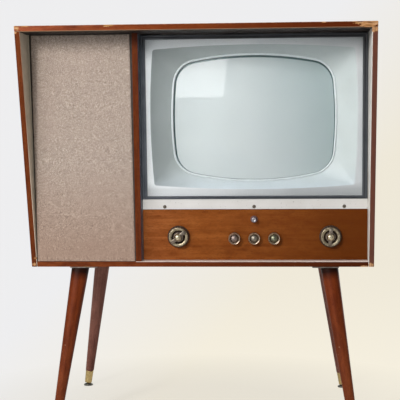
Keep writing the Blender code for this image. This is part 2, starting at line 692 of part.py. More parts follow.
def make_chassis():
    near, far = (CHASSIS_X[0], CHASSIS_Y[0]), (CHASSIS_X[1], CHASSIS_Y[1])
    outer = [(near[0], near[1]), (far[0], near[1]), (far[0], far[1]), (near[0], far[1])]
    inset = [(near[0] + SHEET, near[1] + SHEET), (far[0] - SHEET, near[1] + SHEET)]
    inset += [(far[0] - SHEET, far[1] - SHEET), (near[0] + SHEET, far[1] - SHEET)]
    foot = FLOOR_Z + GAP
    levels = [(inset, DECK_Z - SHEET), (inset, foot), (outer, foot), (outer, DECK_Z)]
    add("chassis", loft([[(x, y, z) for x, y in ring] for ring, z in levels]), FINISH["tin"])

    seat = DECK_Z + GAP
    stack = box((0.290, 0.150, seat), (0.365, 0.182, seat + 0.066))
    core = add("mains_transformer", stack, FINISH["dark_metal"])
    winding = box((0.305, 0.134, seat + 0.011), (0.350, 0.198, seat + 0.055))
    shape(core, guide("winding_guide", winding), "UNION")
    low, high, wall = (0.020, 0.085, seat), (0.125, 0.205, seat + 0.115), SHEET
    rings = []
    for inset, z in ((wall, high[2] - wall), (wall, low[2]), (0, low[2]), (0, high[2])):
        left, right, near, far = low[0] + inset, high[0] - inset, low[1] + inset, high[1] - inset
        rings.append([(left, near, z), (right, near, z), (right, far, z), (left, far, z)])
    cage = add("line_output_cage", loft(rings), FINISH["tin"])
    slots = []
    for i in range(5):
        left = low[0] + 0.012 + 0.020 * i
        slots.append(((left, 0.190, seat + 0.030), (left + 0.008, 0.215, seat + 0.095)))
    shape(cage, guide("cage_slots_guide", boxes(slots)), "DIFFERENCE")
    valve("sound_output_valve", 0.165, 0.185, 0.066)
    valve("video_output_valve", 0.205, 0.185, 0.060)
    valve("frame_output_valve", 0.245, 0.185, 0.066)
    can = [(0, 0), (0.0175, 0), (0.0175, 0.003), (0.0168, 0.004)]
    can += [(0.0168, 0.083), (0.0155, 0.085), (0, 0.085)]
    at = Matrix.Translation((0.215, 0.090, seat))
    add("smoothing_capacitor", turned(can), FINISH["aluminium"], None, at, smooth=35)


# ---------------------------------------------------------------- rear cover
def make_rear():
    margin = 0.004
    heights = (CABINET_BASE_Z + margin, CABINET_TOP_Z - margin)
    board = sheet_between(
        heights,
        lambda z: left_x(z) + margin,
        lambda z: CABINET_WIDTH / 2 - margin,
        lambda z: COVER_FRONT_Y,
        lambda z: COVER_REAR_Y,
    )
    cover = add("rear_cover", board, FINISH["hardboard"])
    slots = []
    for z in VENT_ROWS:
        for i in range(VENT_COLUMNS):
            x = (i - (VENT_COLUMNS - 1) / 2) * VENT_PITCH
            low = (x - VENT_SIZE[0] / 2, COVER_FRONT_Y - 0.01, z - VENT_SIZE[1] / 2)
            high = (x + VENT_SIZE[0] / 2, COVER_REAR_Y + 0.01, z + VENT_SIZE[1] / 2)
            slots.append((low, high))
    shape(cover, guide("vent_guide", boxes(slots)), "DIFFERENCE")

    tilt = Matrix.Rotation(radians(-90), 4, "X")
    depth_at_cover = (COVER_FRONT_Y - BAY_Y + SCREEN_HEIGHT * sin(BAY_LEAN)) / cos(BAY_LEAN)
    neck_z = FLOOR_Z + depth_at_cover * sin(BAY_LEAN) + SCREEN_HEIGHT * cos(BAY_LEAN)
    places = {
        "neck_hole_guide": ((BAY_X, neck_z), CUP_HOLE_RADIUS),
        "aerial_hole_guide": (AERIAL_AT, 0.0075),
        "mains_hole_guide": (MAINS_AT, 0.0105),
    }
    for name, ((x, z), radius) in places.items():
        hole = turned([(0, -0.01), (radius, -0.01), (radius, 0.01), (0, 0.01)])
        at = Matrix.Translation((x, COVER_FRONT_Y, z)) @ tilt
        shape(cover, guide(name, hole, None, at), "DIFFERENCE")

    crown, shell = CUP_REAR_Y - CUP_FLANGE_Y, 0.0016
    cup = [(0.0700, 0), (0.0700, shell), (0.0530, shell), (0.0490, crown - 0.013), (0.0430, crown - 0.004)]
    cup += [(0.0320, crown), (0, crown), (0, crown - shell), (0.0315, crown - shell)]
    cup += [(0.0418, crown - shell - 0.004), (0.0474, crown - 0.014), (0.0510, 0)]
    at = Matrix.Translation((BAY_X, CUP_FLANGE_Y, neck_z)) @ tilt
    add("neck_cup", turned(cup, FINE_ROUND, closed=True), FINISH["bakelite"], None, at, smooth=30)

    bore = 0.00475
    tube = [(bore, -0.006), (0.0066, -0.006), (0.0066, 0.0080), (bore, 0.0080)]
    at = Matrix.Translation((AERIAL_AT[0], CUP_FLANGE_Y, AERIAL_AT[1])) @ tilt
    socket = add("aerial_socket", turned(tube, 16, closed=True), FINISH["tin"], None, at)
    plate = box((-0.024, -0.011, 0), (0.024, 0.011, 0.0014))
    plate_guide = guide("aerial_plate_guide", plate, None, at)
    core = turned([(0, -0.020), (bore + 0.0008, -0.020), (bore + 0.0008, 0.020), (0, 0.020)], 16)
    shape(plate_guide, guide("aerial_core_guide", core, None, at), "DIFFERENCE")
    shape(socket, plate_guide, "UNION")

    groove, lip = 0.0098, 0.0140
    inside, outside = COVER_FRONT_Y - GAP - CUP_FLANGE_Y, 0.0
    gland = [(0.0040, inside - 0.003), (lip - 0.001, inside - 0.003)]
    gland += [(lip - 0.001, inside), (groove, inside)]
    gland += [(groove, outside), (lip, outside), (lip, outside + 0.002), (lip - 0.004, outside + 0.0055)]
    gland += [(0.0062, outside + 0.0070), (0.0040, outside + 0.0070)]
    at = Matrix.Translation((MAINS_AT[0], CUP_FLANGE_Y, MAINS_AT[1])) @ tilt
    add("mains_inlet", turned(gland, 16, closed=True), FINISH["rubber"], None, at, smooth=30)


# ---------------------------------------------------------------- legs
def leg_ring(pivot, axis, station, radius, level=None):
    """A circle round the leg's axis; with a level, its points slide along the axis to that height."""
    across = axis.cross(Vector((0, 1, 0))).normalized()
    other = axis.cross(across)
    ring = []
    for i in range(ROUND):
        turn = 2 * pi * i / ROUND
        point = pivot + axis * station + (across * cos(turn) + other * sin(turn)) * radius
        if level is not None:
            point = point + axis * ((level - point.z) / axis.z)
        ring.append(tuple(point))
    return ring


def make_leg(name, side, row):
    top = Vector((LEG_CENTRE_X + side * LEG_TOP[0], LEG_TOP[row], CABINET_BASE_Z))
    foot = Vector((LEG_CENTRE_X + side * LEG_FOOT[0], LEG_FOOT[row], 0))
    axis = (top - foot).normalized()
    pivot = foot + axis * (PIVOT_Z / axis.z)
    length = (top - pivot).length
    shoulder = FERRULE_LENGTH - FERRULE_BELOW_PIVOT + GAP
    level = CABINET_BASE_Z - GAP - PLATE - GAP
    stud = 0.0040
    rings = [
        leg_ring(pivot, axis, BALL_RADIUS + 0.0050, 0.0078),
        leg_ring(pivot, axis, shoulder, 0.0088),
        leg_ring(pivot, axis, shoulder, LEG_END_RADIUS - 0.0006),
        leg_ring(pivot, axis, shoulder + 0.0010, LEG_END_RADIUS),
        leg_ring(pivot, axis, length, LEG_TOP_RADIUS, level),
        leg_ring(pivot, axis, length, stud + 0.0005, level),
        leg_ring(pivot, axis, length - 0.028, stud + 0.0005),
    ]
    add(f"{name}_leg", loft(rings), FINISH["leg"], smooth=35)

    plate_low = CABINET_BASE_Z - GAP - PLATE
    inward = -side, 1 if row == 1 else -1
    edges = [sorted((top[k] - inward[k] * PLATE_OUTER, top[k] + inward[k] * PLATE_INNER)) for k in (0, 1)]
    slab = box((edges[0][0], edges[1][0], plate_low), (edges[0][1], edges[1][1], plate_low + PLATE))
    plate = add(f"{name}_leg_plate", slab, FINISH["steel"])
    rod = [leg_ring(pivot, axis, length - 0.025, stud)]
    rod.append(leg_ring(pivot, axis, length, stud, plate_low + PLATE / 2))
    shape(plate, guide(f"{name}_stud_guide", loft(rod)), "UNION")

    bottom, crest = -FERRULE_BELOW_PIVOT, FERRULE_LENGTH - FERRULE_BELOW_PIVOT
    bore = BALL_RADIUS + 0.0004
    stations = [
        (bottom, bore),
        (bottom, 0.0092),
        (bottom + 0.0008, 0.0096),
        (crest, 0.0106),
        (crest, 0.0092),
        (BALL_RADIUS + 0.0046, 0.0083),
        (BALL_RADIUS + 0.0046, bore),
    ]
    rings = [leg_ring(pivot, axis, station, radius) for station, radius in stations]
    add(f"{name}_ferrule", loft(rings, closed=True), FINISH["brass"], smooth=35)

    turns = [radians(degree) for degree in (0, 45, 90, 130)]
    glide = [(BALL_RADIUS * sin(turn), BALL_RADIUS * cos(turn)) for turn in turns]
    glide += [(0.0028, -0.0078), (0.0115, -0.0090), (GLIDE_RADIUS, -0.0100)]
    glide += [(GLIDE_RADIUS, -PIVOT_Z), (0, -PIVOT_Z)]
    at = Matrix.Translation(pivot)
    add(f"{name}_glide", turned(glide), FINISH["dark_metal"], None, at, smooth=35)


def make_legs():
    make_leg("front_left", -1, 1)
    make_leg("front_right", 1, 1)
    make_leg("rear_left", -1, 2)
    make_leg("rear_right", 1, 2)


# ---------------------------------------------------------------- the whole set
clear_scene()
FINISH = {
    "veneer": material("veneer", (0.20, 0.062, 0.026), 0.40),
    "leg": material("leg_lacquer", (0.13, 0.036, 0.018), 0.32),
    "plywood": material("plywood", (0.45, 0.30, 0.17), 0.70),
    "hardboard": material("hardboard", (0.16, 0.085, 0.045), 0.75),
    "cloth": material("grille_cloth", (0.42, 0.34, 0.27), 0.90),
    "cream": material("cream_paint", (0.70, 0.67, 0.63), 0.45),
    "mask": material("mask_paint", (0.56, 0.61, 0.63), 0.45),
    "glass": material("clear_glass", (0.80, 0.88, 0.86), 0.04, alpha=0.35),
    "tube": material("tube_glass", (0.50, 0.60, 0.58), 0.10),
    "rubber": material("black_rubber", (0.025, 0.027, 0.030), 0.65),
    "brass": material("brass", (0.55, 0.44, 0.26), 0.32, 1.0),
    "chrome": material("chrome", (0.75, 0.75, 0.78), 0.15, 1.0),
    "copper": material("copper_winding", (0.42, 0.17, 0.07), 0.45, 0.6),
    "bakelite": material("bakelite", (0.05, 0.03, 0.022), 0.35),
    "steel": material("steel", (0.36, 0.36, 0.37), 0.40, 1.0),
    "dark_metal": material("dark_metal", (0.07, 0.065, 0.06), 0.50, 0.7),
    "tin": material("tinplate", (0.55, 0.55, 0.54), 0.38, 1.0),
    "aluminium": material("aluminium", (0.68, 0.68, 0.69), 0.35, 1.0),
    "paper": material("cone_paper", (0.09, 0.08, 0.07), 0.95),
}
make_cabinet()
make_speaker_bay()
bay_foot = Matrix.Translation((BAY_X, BAY_Y, FLOOR_Z))
screen_bay = empty("screen_bay", bay_foot @ Matrix.Rotation(BAY_LEAN, 4, "X"))
make_glass_and_mask(screen_bay)
make_picture_tube(screen_bay)
make_retainer_strip(screen_bay)
make_controls(screen_bay)
make_chassis()
make_rear()
make_legs()
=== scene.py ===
"""The looks of the tube television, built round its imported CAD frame. Metres, +Z up, front towards -Y."""

import json
from math import atan2, ceil, cos, hypot, pi, radians, sin

import bmesh
import bpy
from mathutils import Matrix, Vector, noise

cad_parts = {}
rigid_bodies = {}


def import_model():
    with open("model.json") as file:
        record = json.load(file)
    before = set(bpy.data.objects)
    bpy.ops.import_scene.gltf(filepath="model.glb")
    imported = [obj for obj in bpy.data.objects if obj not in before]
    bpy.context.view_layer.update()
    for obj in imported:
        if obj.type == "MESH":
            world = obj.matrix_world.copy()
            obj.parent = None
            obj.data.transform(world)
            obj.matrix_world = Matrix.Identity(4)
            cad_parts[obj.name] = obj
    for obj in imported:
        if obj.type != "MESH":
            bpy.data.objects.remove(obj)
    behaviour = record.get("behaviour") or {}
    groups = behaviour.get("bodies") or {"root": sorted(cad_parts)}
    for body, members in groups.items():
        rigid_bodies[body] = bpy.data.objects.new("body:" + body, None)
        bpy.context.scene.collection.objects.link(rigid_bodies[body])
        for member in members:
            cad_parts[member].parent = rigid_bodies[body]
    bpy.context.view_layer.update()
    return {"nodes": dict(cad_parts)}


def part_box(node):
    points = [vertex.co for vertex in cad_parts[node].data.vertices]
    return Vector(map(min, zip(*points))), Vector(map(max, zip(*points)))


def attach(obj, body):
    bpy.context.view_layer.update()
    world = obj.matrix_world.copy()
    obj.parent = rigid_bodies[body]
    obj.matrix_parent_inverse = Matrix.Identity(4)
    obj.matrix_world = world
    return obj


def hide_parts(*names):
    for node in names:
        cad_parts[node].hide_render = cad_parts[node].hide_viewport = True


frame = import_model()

NODES = frame["nodes"]

# ---------------------------------------------------------------- the frame's own places
TOP_LOW, TOP_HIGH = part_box("top_panel")
BASE_LOW, BASE_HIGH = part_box("bottom_panel")
RIGHT_INNER_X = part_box("right_side_panel")[0].x
DIVIDER_LOW, DIVIDER_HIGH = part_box("divider_panel")
CLOTH_LOW, CLOTH_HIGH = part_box("grille_cloth")
BASE_Z, TOP_Z = BASE_LOW.z, TOP_HIGH.z
FLOOR_Z, CEILING_Z = BASE_HIGH.z, TOP_LOW.z
HALF_WIDTH = TOP_HIGH.x
LEFT_SLANT = 0.01
BOARD = 0.013
FRONT_BASE_Y, FRONT_TOP_Y = BASE_LOW.y, TOP_LOW.y
REAR_Y = TOP_HIGH.y
GAP = 0.0003

# The screen bay leans as one plane: x, depth and height in it are measured from its foot.
BAY = Matrix.Translation((0.1295, -0.153, FLOOR_Z)) @ Matrix.Rotation(radians(4.5), 4, "X")
BAY_LEFT, BAY_RIGHT = -0.2646, 0.267
GLASS_OPENING = (BAY_LEFT + 0.0108, BAY_RIGHT - 0.0125, 0.1527, 0.5225)
GASKET_HEIGHTS = (0.1462, 0.533)
GLASS_SLOT = (0.003, 0.0096)  # depths of the pane's front and back
SCREEN_HEIGHT = 0.3365
RECESS_HEIGHT = 0.3385
MASK_FACE = 0.0129
MASK_SHEET = 0.0025
RECESS = (0.2438, 0.17, 1.75, 2.8, 0.006)  # half width, half height, side arcs, corner
APERTURE = (0.1972, 0.1521, 0.85, 0.75, 0.061)
TUBE_FACE = (0.2005, 0.1578, 0.85, 0.75, 0.061)
TUBE_SKIRT = (0.2025, 0.1598, 0.85, 0.75, 0.061)
FACE_CROWN = 0.022
FACE_RADIUS = 0.75
BIG_KNOB_AT = 0.18, 0.0568
SMALL_KNOB_AT = 0.047, 0.053
BUTTON_HEIGHT = 0.098
STRIP_SCREW_AT = 0.212, 0.1285
LEG_CENTRE_X = 0.01
LEG_TOP = (0.296, -0.162, 0.2025)  # half spacing, front y, rear y where the legs meet the cabinet
LEG_FOOT = (0.351, -0.214, 0.246)  # the same on the floor
PIVOT_Z = 0.0125
LEG_SHOULDER = 0.0308  # where the bare wood begins, above the ferrule
LEG_STEPS = 64
X, Z = (1, 0, 0), (0, 0, 1)
TURN_STEPS = 96
CORNER_STEPS = 3
OUTLINE_STEPS = 14


# ---------------------------------------------------------------- surfaces
class Nodes:
    """A node tree under construction. Its methods add nodes and return the socket that carries the result."""

    def __init__(self, tree, place):
        self.tree = tree
        self.place = self.node("ShaderNodeTexCoord").outputs[place]

    def feed(self, socket, value):
        if isinstance(value, bpy.types.NodeSocket):
            self.tree.links.new(value, socket)
        elif socket.type == "RGBA":
            socket.default_value = (*value[:3], 1.0)
        else:
            socket.default_value = value

    def node(self, kind, settings=(), inputs=()):
        made = self.tree.nodes.new(kind)
        for key, value in dict(settings).items():
            setattr(made, key, value)
        for key, value in dict(inputs).items():
            self.feed(made.inputs[key], value)
        return made

    def sized(self, sizes, axis=X, offset=(0, 0, 0)):
        """Coordinates in which one unit is the given size in metres, the first along axis."""
        turn = Vector(axis).to_track_quat("X", "Z").to_euler()
        inputs = {"Vector": self.place, "Rotation": turn, "Scale": sizes, "Location": offset}
        return self.node("ShaderNodeMapping", {"vector_type": "TEXTURE"}, inputs).outputs["Vector"]

    def noise(self, vector, detail=3.0, rough=0.55, distortion=0.0):
        inputs = {"Vector": vector, "Scale": 1.0, "Detail": detail, "Roughness": rough,
                  "Distortion": distortion}
        return self.node("ShaderNodeTexNoise", (), inputs).outputs["Fac"]

    def spots(self, size, detail, rough):
        """Noise whose blotches are about as large as size, the same in every direction."""
        return self.noise(self.sized((size,) * 3), detail, rough)

    def ramp(self, value, *stops):
        made = self.node("ShaderNodeValToRGB", (), {"Fac": value})
        points = made.color_ramp.elements
        while len(points) < len(stops):
            points.new(0.5)
        for point, (position, colour) in zip(points, stops):
            point.position = position
            point.color = (*colour, 1.0)
        return made.outputs["Color"]

    def blend(self, factor, first, second, how="MIX"):
        settings = {"data_type": "RGBA", "blend_type": how}
        return self.node("ShaderNodeMix", settings, {0: factor, 6: first, 7: second}).outputs[2]

    def math(self, how, first, second=0.0, third=0.0):
        return self.node("ShaderNodeMath", {"operation": how}, {0: first, 1: second, 2: third}).outputs[0]

    def span(self, value, low, high, to_low=0.0, to_high=1.0):
        """value from low to high, spread over to_low to to_high and held there beyond."""
        inputs = {"Value": value, "From Min": low, "From Max": high, "To Min": to_low, "To Max": to_high}
        return self.node("ShaderNodeMapRange", {"clamp": True}, inputs).outputs["Result"]

    def dot(self, normal, vector=None):
        inputs = {0: vector or self.place, 1: normal}
        return self.node("ShaderNodeVectorMath", {"operation": "DOT_PRODUCT"}, inputs).outputs["Value"]

    def mix(self, factor, first, second, output):
        """Two shaders mixed into the tree's output."""
        mixed = self.node("ShaderNodeMixShader", (), {0: factor, 1: first, 2: second})
        self.tree.links.new(mixed.outputs[0], self.tree.nodes[output].inputs["Surface"])

    def length(self, vector):
        return self.node("ShaderNodeVectorMath", {"operation": "LENGTH"}, {0: vector}).outputs["Value"]

    def near(self, centre, radii):
        """1 at a point, falling to 0 on the ellipsoid round it."""
        return self.math("SUBTRACT", 1.0, self.length(self.sized(radii, offset=centre)))

    def shared(self, body, shares):
        """The colour multiplied by shares that change along a direction. Each is (direction, low, high, share
        at low, share at high), and a share is a number or a colour."""
        for direction, low, high, *ends in shares:
            first, second = ((end,) * 3 if isinstance(end, float) else end for end in ends)
            share = self.blend(self.span(self.dot(direction), low, high), first, second)
            body = self.blend(1.0, body, share, "MULTIPLY")
        return body

    def bump(self, height, distance, strength):
        inputs = {"Height": height, "Distance": distance, "Strength": strength}
        return self.node("ShaderNodeBump", (), inputs).outputs["Normal"]


class Paint(Nodes):
    """A material under construction, measured in its object's own metres."""

    def __init__(self, name, rough=0.5, metal=0.0, **values):
        self.material = bpy.data.materials.new(name)
        self.material.use_nodes = True
        super().__init__(self.material.node_tree, "Object")
        self.shader = self.tree.nodes["Principled BSDF"]
        self.set(Roughness=rough, Metallic=metal, **values)

    def set(self, **values):
        for key, value in values.items():
            self.feed(self.shader.inputs[key.replace("_", " ")], value)

    def done(self, colour, rough=None, normal=None):
        for key, value in {"Base_Color": colour, "Roughness": rough, "Normal": normal}.items():
            if value is not None:
                self.set(**{key: value})
        return self.material


def dimmed(colour, share):
    return tuple(level * share for level in colour)


def grain(paint, axis, dark, mid, light, seed):
    """Colour, streaks and pores of red-brown wood with its grain along axis."""
    shift = (seed, seed * 0.7, seed * 1.3)
    figure = paint.noise(paint.sized((0.3, 0.02, 0.02), axis, shift), 4, 0.6, 0.6)
    lines = paint.noise(paint.sized((0.16, 0.0016, 0.0016), axis, shift), 3, 0.6)
    mottle = paint.noise(paint.sized((0.034, 0.014, 0.014), axis, shift), 2, 0.5)
    pores = paint.noise(paint.sized((0.0055, 0.00035, 0.00035), axis, shift), 1, 0.5)
    body = paint.ramp(figure, (0.3, dark), (0.52, mid), (0.72, light))
    body = paint.blend(paint.span(lines, 0.3, 0.72, 0.55, 0.0), body, dark)
    body = paint.blend(paint.span(mottle, 0.35, 0.75, 0.0, 0.45), body, light)
    specks = paint.noise(paint.sized((0.007, 0.0022, 0.0022), axis, shift), 2, 0.5)
    body = paint.blend(paint.span(specks, 0.58, 0.74, 0.0, 0.45), body, dimmed(dark, 0.6))
    pits = paint.span(pores, 0.6, 0.68)
    body = paint.blend(paint.math("MULTIPLY", pits, 0.65), body, dimmed(dark, 0.35))
    return body, lines, pits


def wood(name, axis, tones, seed, rough, planes=(), films=(), chips=(), wear=0.5, front=None, gloss=0.06,
         shade=(-0.35, 0.3), shares=()):
    """A veneered board, with painted shade: darker from the first x of shade to the second, where less light
    falls on it. planes are its faces as (normal, offset), positive inside, and front is its front face. films
    are painted faces: (plane, colour, dirty colour, colour of its front arris, and any x with the side of it
    that is painted). chips are (centre, radii) of places where the veneer is gone. gloss is how much the
    lacquer reflects."""
    paint = Paint(name, Specular_IOR_Level=gloss)
    body, lines, pits = grain(paint, axis, *tones, seed)
    across = paint.dot(X)
    # Painted shade: the board darkened towards its right end, where less light falls on it.
    body = paint.blend(paint.span(across, *shade, 0.0, MOST_PAINTED_SHADE), body, dimmed(tones[0], 0.75))
    body = paint.shared(body, shares)
    shine = paint.span(paint.noise(paint.sized((0.05, 0.03, 0.03))), 0.3, 0.7, rough - 0.05, rough + 0.09)
    relief = paint.math("MULTIPLY_ADD", lines, 0.35, paint.math("MULTIPLY", pits, -0.8))
    ragged = paint.noise(paint.sized((0.0065, 0.0035, 0.0035), axis), 4, 0.65)
    if planes:
        close = 0.0
        for normal, offset in planes:
            near = paint.span(paint.math("SUBTRACT", paint.dot(normal), offset), 0.0, EDGE_WEAR, 1.0, 0.0)
            close = paint.math("ADD", near, close)
        torn = paint.span(ragged, 0.54 - 0.16 * wear, 0.62)
        rubbed = paint.math("MULTIPLY", paint.math("MULTIPLY", paint.span(close, 1.1, 1.9), torn), wear)
        body = paint.blend(rubbed, body, PALE_WOOD)
    for (normal, offset), colour, dirty, arris, *part in films:
        depth = paint.math("SUBTRACT", paint.dot(normal), offset)
        film = paint.span(depth, *FILM_DEPTH, 1.0, 0.0)
        coat = paint.ramp(paint.spots(0.05, 4, 0.6), (0.3, dirty), (0.62, colour))
        edge = paint.math("SUBTRACT", paint.dot(front[0]), front[1])
        coat = paint.blend(paint.span(edge, *ARRIS_DEPTH, 1.0, 0.0), coat, arris)
        for x, side in part:
            beyond = paint.math("GREATER_THAN" if side > 0 else "LESS_THAN", across, x)
            film = paint.math("MULTIPLY", film, beyond)
        body = paint.blend(film, body, coat)
    if chips:
        mask = 0.0
        for centre, radii in chips:
            rough_edge = paint.math("MULTIPLY_ADD", ragged, 1.7, paint.near(centre, radii))
            mask = paint.math("MAXIMUM", paint.span(rough_edge, 0.98, 1.06), mask)
        raw = paint.noise(paint.sized((0.02, 0.0018, 0.0018), axis), 4, 0.6)
        bare = paint.ramp(raw, (0.36, RAW_DARK), (0.5, RAW_WOOD), (0.66, PALE_WOOD))
        body = paint.blend(mask, body, bare)
        shine = paint.math("MAXIMUM", shine, paint.math("MULTIPLY", mask, 0.72))
        relief = paint.math("MULTIPLY_ADD", mask, -3.0, relief)
    return paint.done(body, shine, paint.bump(relief, 0.00022, 0.7))


EDGE_WEAR = 0.0016  # how far in from an edge the veneer is rubbed
FILM_DEPTH = (0.0011, 0.0015)  # where a painted face ends, below it
ARRIS_DEPTH = (0.001, 0.0016)  # where the colour of its front arris ends
# Painted faces: clean colour, dirty colour, colour of the front arris.
CREAM = ((0.8, 0.78, 0.74), (0.66, 0.62, 0.55), (0.8, 0.76, 0.7))
# The left side's inner face: the right side's cream made darker and warmer as painted shade, the face being
# in shadow, with a dark tan front arris.
SHADED_CREAM = ((0.74, 0.64, 0.51), (0.57, 0.49, 0.375), (0.33, 0.215, 0.15))
# Painted shade: the side's cream darkened, for a band on the baffle that stands as the side face in shadow.
BAFFLE_SHADE_BAND = (0.52, 0.445, 0.345)
CREAM_FLOOR = ((0.9, 0.76, 0.7), (0.7, 0.61, 0.54), (0.8, 0.74, 0.68))
# The ceiling: near black as painted shade, the shadow under the top board, with a tan front arris.
CEILING_SHADE = ((0.05, 0.039, 0.035), (0.028, 0.022, 0.02), (0.33, 0.2, 0.115))
SLATE = ((0.138, 0.153, 0.18), (0.093, 0.105, 0.128), (0.06, 0.03, 0.04))
FOOT_BROWN = ((0.15, 0.052, 0.026), (0.1, 0.034, 0.018), (0.15, 0.052, 0.026))
SHADE_BAND_TOP = 0.0045  # how much wider the band of painted shade on the baffle is at its top
# The darkest painted shade a board takes, at the right end of its shade.
MOST_PAINTED_SHADE = 0.95
# Woods: dark, middle and light tone of the grain, and bare wood where the veneer is gone.
PALE_WOOD = (0.74, 0.45, 0.27)
RAW_WOOD = (0.53, 0.25, 0.085)
RAW_DARK = (0.16, 0.06, 0.02)
VENEER = ((0.098, 0.018, 0.0045), (0.215, 0.044, 0.0105), (0.345, 0.085, 0.02))
PANEL_VENEER = ((0.135, 0.029, 0.004), (0.23, 0.058, 0.0095), (0.335, 0.1, 0.02))
LACQUER = ((0.093, 0.018, 0.0055), (0.182, 0.038, 0.011), (0.27, 0.066, 0.02))
# The same lacquer, lighter and greyer, for the rear legs: painted light, where the backdrop lights them from
# behind.
REAR_LACQUER_LIT = ((0.12, 0.045, 0.033), (0.215, 0.084, 0.06), (0.3, 0.125, 0.09))

# Painted light and shade, as Nodes.shared takes it: how much lighter, darker or bluer surfaces are painted
# from one end to the other, standing in for how the light falls on them and what they mirror.
EVEN = (1.0, 1.0, 1.0)
# The top board: a painted sheen, lighter and bluer, at its left, and painted shade to the right.
TOP_PAINTED_LIGHT = ((X, -0.4, -0.05, (1.16, 1.32, 2.3), (0.96, 0.91, 0.7)),
              (X, 0.05, 0.38, EVEN, (1.05, 0.92, 0.4)))
# The bottom board and the control panel: painted light, lighter and bluer, at the left, and painted shade to
# the right.
BASE_PAINTED_LIGHT = ((X, -0.38, -0.05, (1.14, 1.28, 1.5), EVEN), (X, 0.05, 0.38, EVEN, (0.86, 0.84, 0.5)))
PANEL_PAINTED_LIGHT = ((X, -0.13, 0.0, (1.22, 1.38, 2.0), (1.04, 1.12, 1.14)),
                (X, 0.15, 0.36, EVEN, (0.88, 0.84, 0.55)))
# Legs: the front ones painted darker and redder high up, as the cabinet's shade; the rear ones painted
# lighter and bluer high up, as painted light.
LEG_PAINTED_LIGHT = {"front": ((Z, 0.1, 0.3, (1.1, 1.1, 1.1), (1.04, 0.86, 0.62)),),
              "rear": ((Z, 0.1, 0.3, EVEN, (1.28, 1.45, 1.5)),)}
# The mask: the border painted darker to the right and along its foot, the slope darker at its left and bluer
# at its foot, the bead darker at its foot, all as painted light and shade. The gasket: painted lighter at its
# left and foot, darker at its right and top.
BORDER_PAINTED_LIGHT = (((1, 0, -0.6), -0.34, 0.0, 1.03, 0.58), (Z, 0.168, 0.185, 0.66, 1.0))
SLOPE_PAINTED_LIGHT = ((X, -0.24, -0.1, 0.72, 1.0), (Z, 0.17, 0.22, (1.02, 1.04, 1.12), EVEN))
BEAD_PAINTED_LIGHT = ((Z, 0.2, 0.47, 0.8, 1.0),)
GASKET_PAINTED_LIGHT = ((X, -0.25, -0.1, 1.8, 1.0), (X, 0.1, 0.25, 1.0, 0.82), (Z, 0.17, 0.5, 1.15, 0.72))


def toned(tones, share):
    """The same wood, darker or lighter."""
    return tuple(dimmed(tone, share) for tone in tones)


def painted_metal(name, colour, shade, rough, shares=()):
    """Sprayed paint: a faint orange peel, slow changes of tone and a few specks of dirt. shares is painted
    light and shade, the colour made lighter or darker along directions where the light falls unevenly."""
    paint = Paint(name)
    slow = paint.spots(0.09, 3, 0.55)
    specks = paint.spots(0.0032, 1, 0.4)
    body = paint.shared(paint.ramp(slow, (0.3, shade), (0.65, colour)), shares)
    body = paint.blend(paint.span(specks, 0.735, 0.765, 0.0, 0.6), body, dimmed(shade, 0.35))
    peel = paint.spots(0.0009, 2, 0.5)
    shine = paint.span(slow, 0.3, 0.7, rough + 0.06, rough - 0.03)
    return paint.done(body, shine, paint.bump(peel, 0.00006, 0.6))


def metal(name, light, dark, rough, size, pitted, brushed=None, level=1.0):
    """Bare or plated metal with tarnish in patches and fine scratches, along brushed if it has a direction.
    level is how metallic it is."""
    paint = Paint(name, metal=level)
    patches = paint.spots(size, 4, 0.6)
    fine = paint.spots(0.0007, 2, 0.6)
    if brushed is not None:
        fine = paint.noise(paint.sized((0.012, 0.0003, 0.0003), brushed), 2, 0.6)
    body = paint.ramp(patches, (0.28, dark), (0.6, light))
    body = paint.blend(paint.span(fine, 0.62, 0.74, 0.0, pitted), body, dimmed(dark, 0.4))
    shine = paint.span(patches, 0.3, 0.7, rough + 0.16, rough - 0.04)
    return paint.done(body, shine, paint.bump(fine, 0.00005, 0.6))


def matt(name, light, dark, rough, size, bump=0.0002, shares=()):
    """A dull uneven surface: rubber, hardboard, paper, moulded plastic."""
    paint = Paint(name)
    tone = paint.spots(size, 4, 0.6)
    fine = paint.spots(size * 0.15, 3, 0.6)
    body = paint.shared(paint.ramp(tone, (0.32, dark), (0.66, light)), shares)
    shine = paint.span(tone, 0.3, 0.7, min(rough + 0.08, 1.0), rough - 0.05)
    return paint.done(body, shine, paint.bump(fine, bump, 0.7))


# ---------------------------------------------------------------- shapes
def placed(name, data, at):
    """A new object of the scene."""
    made = bpy.data.objects.new(name, data)
    bpy.context.scene.collection.objects.link(made)
    made.matrix_world = at
    return made


def mesh_of(name, bm):
    mesh = bpy.data.meshes.new(name)
    bm.to_mesh(mesh)
    bm.free()
    return mesh


def piece(name, bm, finishes, body="cabinet", at=Matrix.Identity(4), smooth=35, stands_for=None):
    """A visible piece from a bmesh, placed by at, riding on a body and standing for a CAD node."""
    bmesh.ops.recalc_face_normals(bm, faces=bm.faces)
    mesh = mesh_of(name, bm)
    for finish in finishes if isinstance(finishes, list) else [finishes]:
        mesh.materials.append(finish)
    mesh.shade_smooth()
    mesh.set_sharp_from_angle(angle=radians(smooth))
    made = placed(name, mesh, at)
    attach(made, body)
    if stands_for:
        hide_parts(stands_for)
    return made


